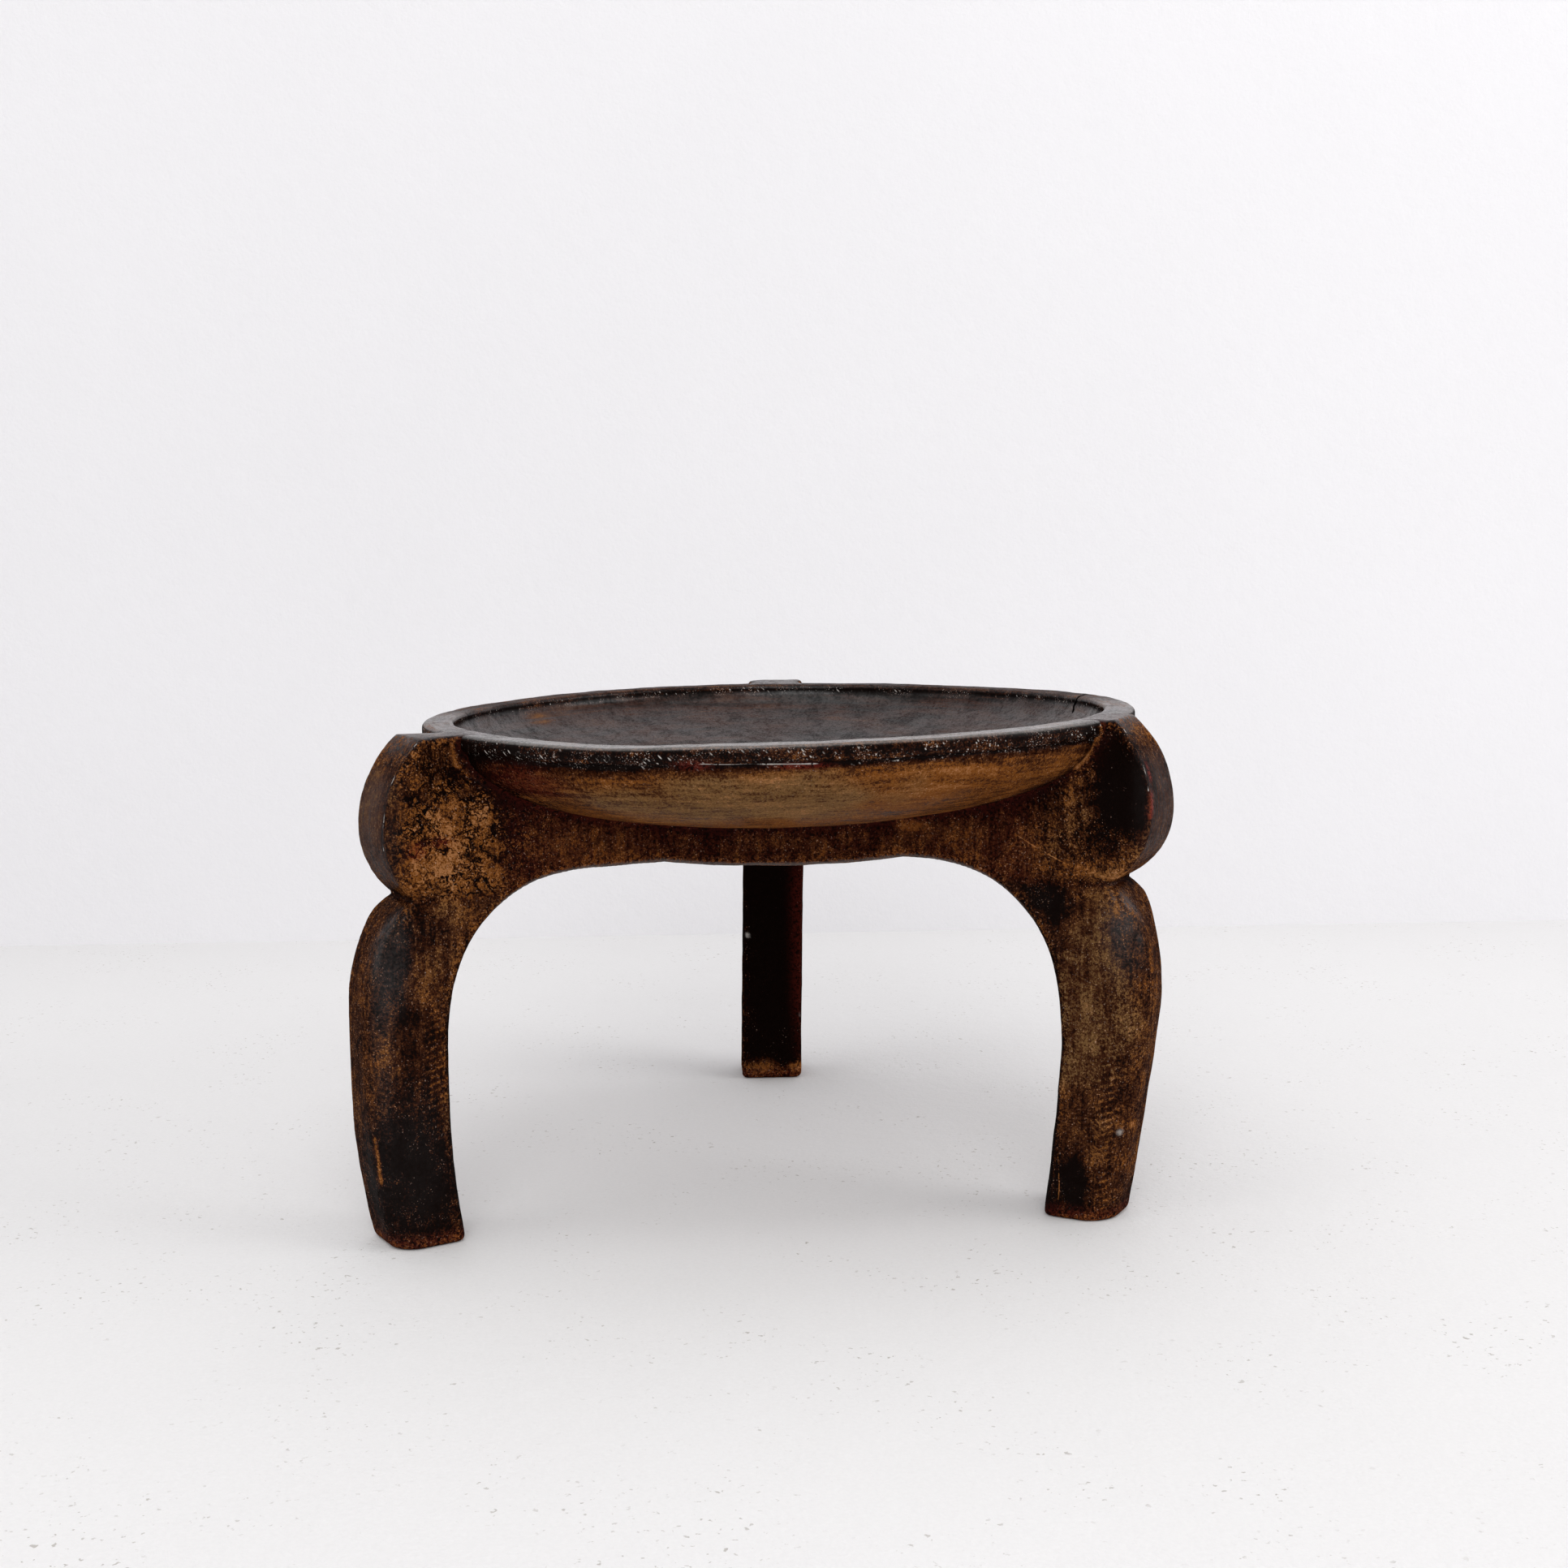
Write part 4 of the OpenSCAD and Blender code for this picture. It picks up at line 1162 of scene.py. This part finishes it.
class STOOL_OT_seat(bpy.types.Operator):
    """Turn the dished seat and dent it by hand"""
    bl_idname = "stool.seat"
    bl_label = "Seat"

    def execute(self, context):
        stool = context.scene.stool
        seat, finish = stool.seat, stool.finish
        patina = carved_wood("Polished seat", finish, True, glints=RIM_GLINTS, cracks=CRACKS)
        obj = link("seat_dish_look", bpy.data.meshes.new("seat_dish_look"))
        slope_x, slope_y = slope_of(seat)
        run_tree(obj, seat_tree(), {
            **{label: getattr(seat, key) for label, key in SEAT_INPUTS.items()},
            "Slope X": slope_x, "Slope Y": slope_y,
            "Axis X": SEAT_AXIS.x, "Axis Y": SEAT_AXIS.y, "Material": patina})
        mesh = obj.data
        carving = Carving(stool)
        points = read_points(mesh)
        place = from_axis(points)
        points[:, 2] += carving.warp(place[:, 0], place[:, 1]) * MM
        set_points(mesh, points)
        store(mesh, "outward", np.array([v.vector for v in mesh.vertex_normals]), "FLOAT_VECTOR")
        store(mesh, "keep", np.zeros(len(mesh.vertices)))
        run_tree(obj, hewn_tree(), {"Hewn depth": finish.hewn * 0.7, "Dent depth": finish.dent,
                                    "Material": patina})
        mesh = obj.data
        set_points(mesh, np.clip(read_points(mesh), *CAD_BOX))
        mesh.shade_smooth()
        self.finish(mesh, carving)
        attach(obj, BODY)
        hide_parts("seat_dish")
        return {"FINISHED"}

    def finish(self, mesh, carving):
        """Sets the finish's channels over the hollow, the rim and the underside."""
        faces = quads(mesh)
        points = read_points(mesh)
        outward = point_directions(points, faces)
        stand = bulge(points, faces, outward, 8)
        place = from_axis(points)
        x, y, z = place.T
        reach, drop = np.hypot(x, y), carving.seat_height(x, y) - z
        top = outward[:, 2]
        hollow = smooth(top, 0.1, 0.4) * smooth(reach, 158, 153)
        band = smooth(top, 0.5, 0.8) * smooth(reach, 153, 157)
        belly = smooth(drop, 7, 10) * smooth(top, 0, -0.2)
        face = np.clip(1 - hollow - band - belly, 0, 1)
        near = np.exp(-np.maximum(carving.solid(x, y, z), 0) / 5)
        levels = {
            "bare": 0.20 * hollow + 0.24 * band + 0.02 * face + 0.60 * belly
            - 0.30 * belly * smooth(drop, 15, 9) - 0.40 * near * belly,
            "olive": 0.05 * belly + 0.5 * hollow, "red": 0.0, "flake": 0.10 * belly, "hatch": 0.0,
            "polish": 0.85 * hollow + band * (0.25 + 0.85 * smooth(y, 60, -20)) + 0.10 * face
            + 0.25 * belly * smooth(drop, 18, 30),
            "wear": np.clip(stand / 0.0005, 0, 1) * (1 - 0.6 * band) * (1 - hollow),
            "concavity": np.clip(-stand / 0.0004, 0, 1) * (1 - hollow), "bevel": 0.0,
            # Painted highlights: the rim face's nicks are made pale partly for their glints, and the front of
            # the rim's top band gets a painted highlight through the dust channel
            "nicks_and_glints": face * smooth(drop, 0, 2),
            "dust_and_highlight": 0.20 * band * smooth(y, -70, -130), "calm": hollow + 0.5 * band + 0.6 * belly}
        keep_levels(mesh, touch_up(levels, place))


class STOOL_OT_block(bpy.types.Operator):
    """Carve the hub, arms, legs and lugs as one solid"""
    bl_idname = "stool.block"
    bl_label = "Block"

    def execute(self, context):
        stool = context.scene.stool
        carving = Carving(stool)
        step = stool.limbs.grain / MM
        low = from_axis(np.array(CAD_BOX[0])) - 4 * step
        high = from_axis(np.array(CAD_BOX[1])) + 4 * step
        points, skin, faces, sides = carve(carving, low, high, step)
        points = settle(carving, points, skin, faces)
        points[:, 2] = np.maximum(points[:, 2], 0)
        shown = (sides == 0).any(1)
        order = np.where((sides[:, 0] == 0)[:, None], faces[:, ::-1], faces)
        outward = point_directions(points, order[shown])
        obj = link(BLOCK, mesh_from(BLOCK, points * MM + np.array(AXIS_FOOT), faces))
        for key, members in zip(SIDES, sides.T):
            obj.data.attributes.new(key, "INT", "FACE").data.foreach_set("value", members.astype(np.int32))
        store(obj.data, "outward", outward, "FLOAT_VECTOR")
        store(obj.data, "keep", smooth(points[:, 2], 3, 0.5))
        run_tree(obj, hewn_tree(), {"Hewn depth": stool.finish.hewn, "Dent depth": stool.finish.dent})
        points = np.clip(read_points(obj.data), *CAD_BOX)
        set_points(obj.data, points)
        self.finish(obj.data, carving, points, order[shown])
        return {"FINISHED"}

    def finish(self, mesh, carving, points, faces):
        """Sets the finish's channels by height, reach, slope and closeness to the seat."""
        outward = point_directions(points, faces)
        store(mesh, "outward", outward, "FLOAT_VECTOR")
        stand = bulge(points, faces, outward, 12)
        place = from_axis(points)
        x, y, z = place.T
        gap = carving.seat(np.hypot(x, y), z - carving.seat_height(x, y))
        parts = np.array([leg.local(x, y) for leg in carving.legs])
        nearest = parts[:, 0].argmax(0)
        r = parts[:, 0].max(0)
        root, lug_reach, along = (carving.of_leg(key, nearest) for key in ("root", "lug", "along"))
        groove, arch = carving.legs[0].groove, carving.legs[0].arch
        upper = smooth(z, groove - 3, groove + 1)
        lug = upper * smooth(r, root - 14, root + 4)
        foot = smooth(z, 9, 2)
        outer = smooth(lug_reach - r, 12, 2) * upper
        # bevel: the downward bevel along the arches, given more gloss and a painted reflection of the floor
        # in its colour
        bevel = smooth(-outward[:, 2], 0.35, 0.6) * smooth(-outward[:, 2], 0.97, 0.85) \
            * smooth(z, arch - 40, arch - 15) * smooth(r, root + 6, root - 6) \
            * smooth(gap, 3, 8)
        # near: closeness to the seat; close under it the finish is made darker and redder
        near = np.exp(-np.maximum(gap, 0) / 2.5)
        inward = smooth(-(outward[:, :2] * along).sum(1), 0.25, 0.7) * smooth(r, 60, 90)
        cap = smooth(outward[:, 2], 0.55, 0.85) * smooth(z, 205, 215)
        levels = {
            "bare": 0.37 - 0.14 * cap + 0.18 * lug * (1 - outer) - 0.06 * outer - 0.05 * upper * (1 - lug)
            - 0.30 * near - 0.32 * inward,
            "olive": 0.12 * lug + 0.55 * outer + 0.25 * (1 - upper),
            "red": 0.20 * foot + 0.10 * upper * (1 - lug) + 0.12 * near, "flake": 0.30 * lug * (1 - outer),
            "hatch": 0.0,
            "polish": 0.02 + 0.03 * (1 - upper) + 0.15 * outer + 0.7 * bevel + 0.85 * cap,
            "wear": np.clip(stand / 0.0007, 0, 1) * (1 - cap), "concavity": np.clip(-stand / 0.0005, 0, 1),
            "bevel": bevel, "nicks_and_glints": 0.0, "dust_and_highlight": 0.0, "calm": 0.80 * outer + 0.10 * (1 - upper)}
        keep_levels(mesh, touch_up(levels, place))


class STOOL_OT_hub(bpy.types.Operator):
    """Part the hub from the block"""
    bl_idname = "stool.hub"
    bl_label = "Hub"

    def execute(self, context):
        # Its dark colour comes from the channels, darkest close under the seat
        part_members("hub", carved_wood("Grimed hub", context.scene.stool.finish))
        return {"FINISHED"}


class STOOL_OT_arms(bpy.types.Operator):
    """Part the three arms from the block"""
    bl_idname = "stool.arms"
    bl_label = "Arms"

    def execute(self, context):
        # Their dark colour comes from the channels, darkest close under the seat
        wood = carved_wood("Grimed arm", context.scene.stool.finish, scratches=SCRATCHES[:1])
        part_members("arm", wood)
        return {"FINISHED"}


class STOOL_OT_legs(bpy.types.Operator):
    """Part the three legs from the block"""
    bl_idname = "stool.legs"
    bl_label = "Legs"

    def execute(self, context):
        wood = carved_wood("Oiled leg", context.scene.stool.finish, scratches=SCRATCHES[1:])
        part_members("leg", wood)
        return {"FINISHED"}


class STOOL_OT_lugs(bpy.types.Operator):
    """Part the three lugs from the block"""
    bl_idname = "stool.lugs"
    bl_label = "Lugs"

    def execute(self, context):
        wood = carved_wood("Worn lug", context.scene.stool.finish, scratches=SCRATCHES[:1],
                           glints=LUG_GLINTS)
        part_members("lug", wood)
        bpy.data.objects.remove(bpy.data.objects[BLOCK])
        return {"FINISHED"}


class STOOL_OT_stage(bpy.types.Operator):
    """Set up the floor, the wall, the lights and the camera"""
    bl_idname = "stool.stage"
    bl_label = "Stage"

    def execute(self, context):
        stage = context.scene.stool.stage
        self.room(stage)
        self.lights(context, stage)
        self.camera(context, stage)
        return {"FINISHED"}

    def room(self, stage):
        """A speckled floor that meets a plain wall behind the stool."""
        wall_y, floor_z = SEAT_AXIS.y + stage.wall_distance, -stage.floor_gap
        left, right = -ROOM_HALF, ROOM_HALF
        corners = [(left, -ROOM_HALF, floor_z), (right, -ROOM_HALF, floor_z),
                   (right, wall_y, floor_z), (left, wall_y, floor_z),
                   (right, wall_y, ROOM_HEIGHT), (left, wall_y, ROOM_HEIGHT)]
        mesh = bpy.data.meshes.new("room")
        mesh.from_pydata(corners, [], [(0, 1, 2, 3), (3, 2, 4, 5)])
        mesh.materials.append(painted("Painted floor", stage.floor, 0.8))
        mesh.materials.append(painted("Plastered wall", stage.wall, 0.0))
        mesh.polygons[1].material_index = 1
        link("room", mesh)

    def lights(self, context, stage):
        world = bpy.data.worlds.new("Daylight")
        world.use_nodes = True
        Bench(world.node_tree).feed(world.node_tree.nodes["Background"],
                                    {"Strength": stage.daylight, "Color": (1, 1, 1, 1)})
        context.scene.world = world
        for name, place, energy, size in LAMPS:
            data = bpy.data.lights.new(name, "AREA")
            data.energy, data.size = energy, size
            lamp = bpy.data.objects.new(name, data)
            lamp.location = place
            lamp.rotation_euler = (Vector(LAMP_AIM) - Vector(place)).to_track_quat("-Z", "Y").to_euler()
            context.scene.collection.objects.link(lamp)

    def camera(self, context, stage):
        """The camera at the photograph's place, from its pan, pitch and roll."""
        data = bpy.data.cameras.new("Camera")
        data.lens, data.sensor_width, data.clip_end = stage.lens, 36, 50
        camera = bpy.data.objects.new("Camera", data)
        context.scene.collection.objects.link(camera)
        pan, pitch = stage.pan, stage.pitch
        ahead = Vector((math.sin(pan) * math.cos(pitch), math.cos(pan) * math.cos(pitch), -math.sin(pitch)))
        right = Vector((math.cos(pan), -math.sin(pan), 0))
        up = right.cross(ahead)
        c, s = math.cos(stage.roll), math.sin(stage.roll)
        axes = Matrix((c * right - s * up, s * right + c * up, -ahead)).transposed()
        camera.matrix_world = Matrix.Translation(
            Vector(stage.camera_place) + AXIS_FOOT) @ axes.to_4x4()
        context.scene.camera = camera


class Stool(bpy.types.PropertyGroup):
    """Everything about the stool that a user would change."""
    seat: PointerProperty(name="Seat", description="Sizes of the seat", type=StoolSeat)
    limbs: PointerProperty(name="Limbs", description="Sizes of the limbs", type=StoolLimbs)
    legs: CollectionProperty(name="Legs", description="Sizes of each leg", type=StoolLeg)
    finish: PointerProperty(name="Finish", description="Colours and tool marks", type=StoolFinish)
    stage: PointerProperty(name="Stage", description="Backdrop, lights and camera", type=StoolStage)


OPERATORS = (STOOL_OT_seat, STOOL_OT_block, STOOL_OT_hub, STOOL_OT_arms, STOOL_OT_legs, STOOL_OT_lugs,
             STOOL_OT_stage)


class STOOL_PT_panel(bpy.types.Panel):
    """Sizes, colours and steps of the carved stool"""
    bl_idname = "STOOL_PT_panel"
    bl_label = "Carved stool"
    bl_space_type = "VIEW_3D"
    bl_region_type = "UI"
    bl_category = "Stool"

    def draw(self, context):
        stool = context.scene.stool
        for operator in OPERATORS:
            self.layout.operator(operator.bl_idname)
        groups = [stool.seat, stool.limbs, *stool.legs, stool.finish, stool.stage]
        for group in groups:
            box = self.layout.box()
            for prop in group.bl_rna.properties:
                if prop.identifier not in ("rna_type", "name"):
                    box.prop(group, prop.identifier)


CLASSES = (StoolSeat, StoolLimbs, StoolLeg, StoolFinish, StoolStage, Stool, *OPERATORS, STOOL_PT_panel)


def register():
    for c in CLASSES:
        bpy.utils.register_class(c)
    bpy.types.Scene.stool = PointerProperty(type=Stool)


def unregister():
    del bpy.types.Scene.stool
    for c in reversed(CLASSES):
        bpy.utils.unregister_class(c)


def set_legs(stool):
    """Gives the three legs their own sizes."""
    stool.legs.clear()
    for name, sizes in LEG_SIZES.items():
        leg = stool.legs.add()
        leg.name = name
        for key, value in sizes.items():
            setattr(leg, key, math.radians(value) if key == "turn" else value)


def main():
    register()
    scene = bpy.context.scene
    set_legs(scene.stool)
    for operator in OPERATORS:
        family, name = operator.bl_idname.split(".")
        getattr(getattr(bpy.ops, family), name)()
    scene.view_settings.view_transform = "Standard"


if __name__ == "__main__":
    main()
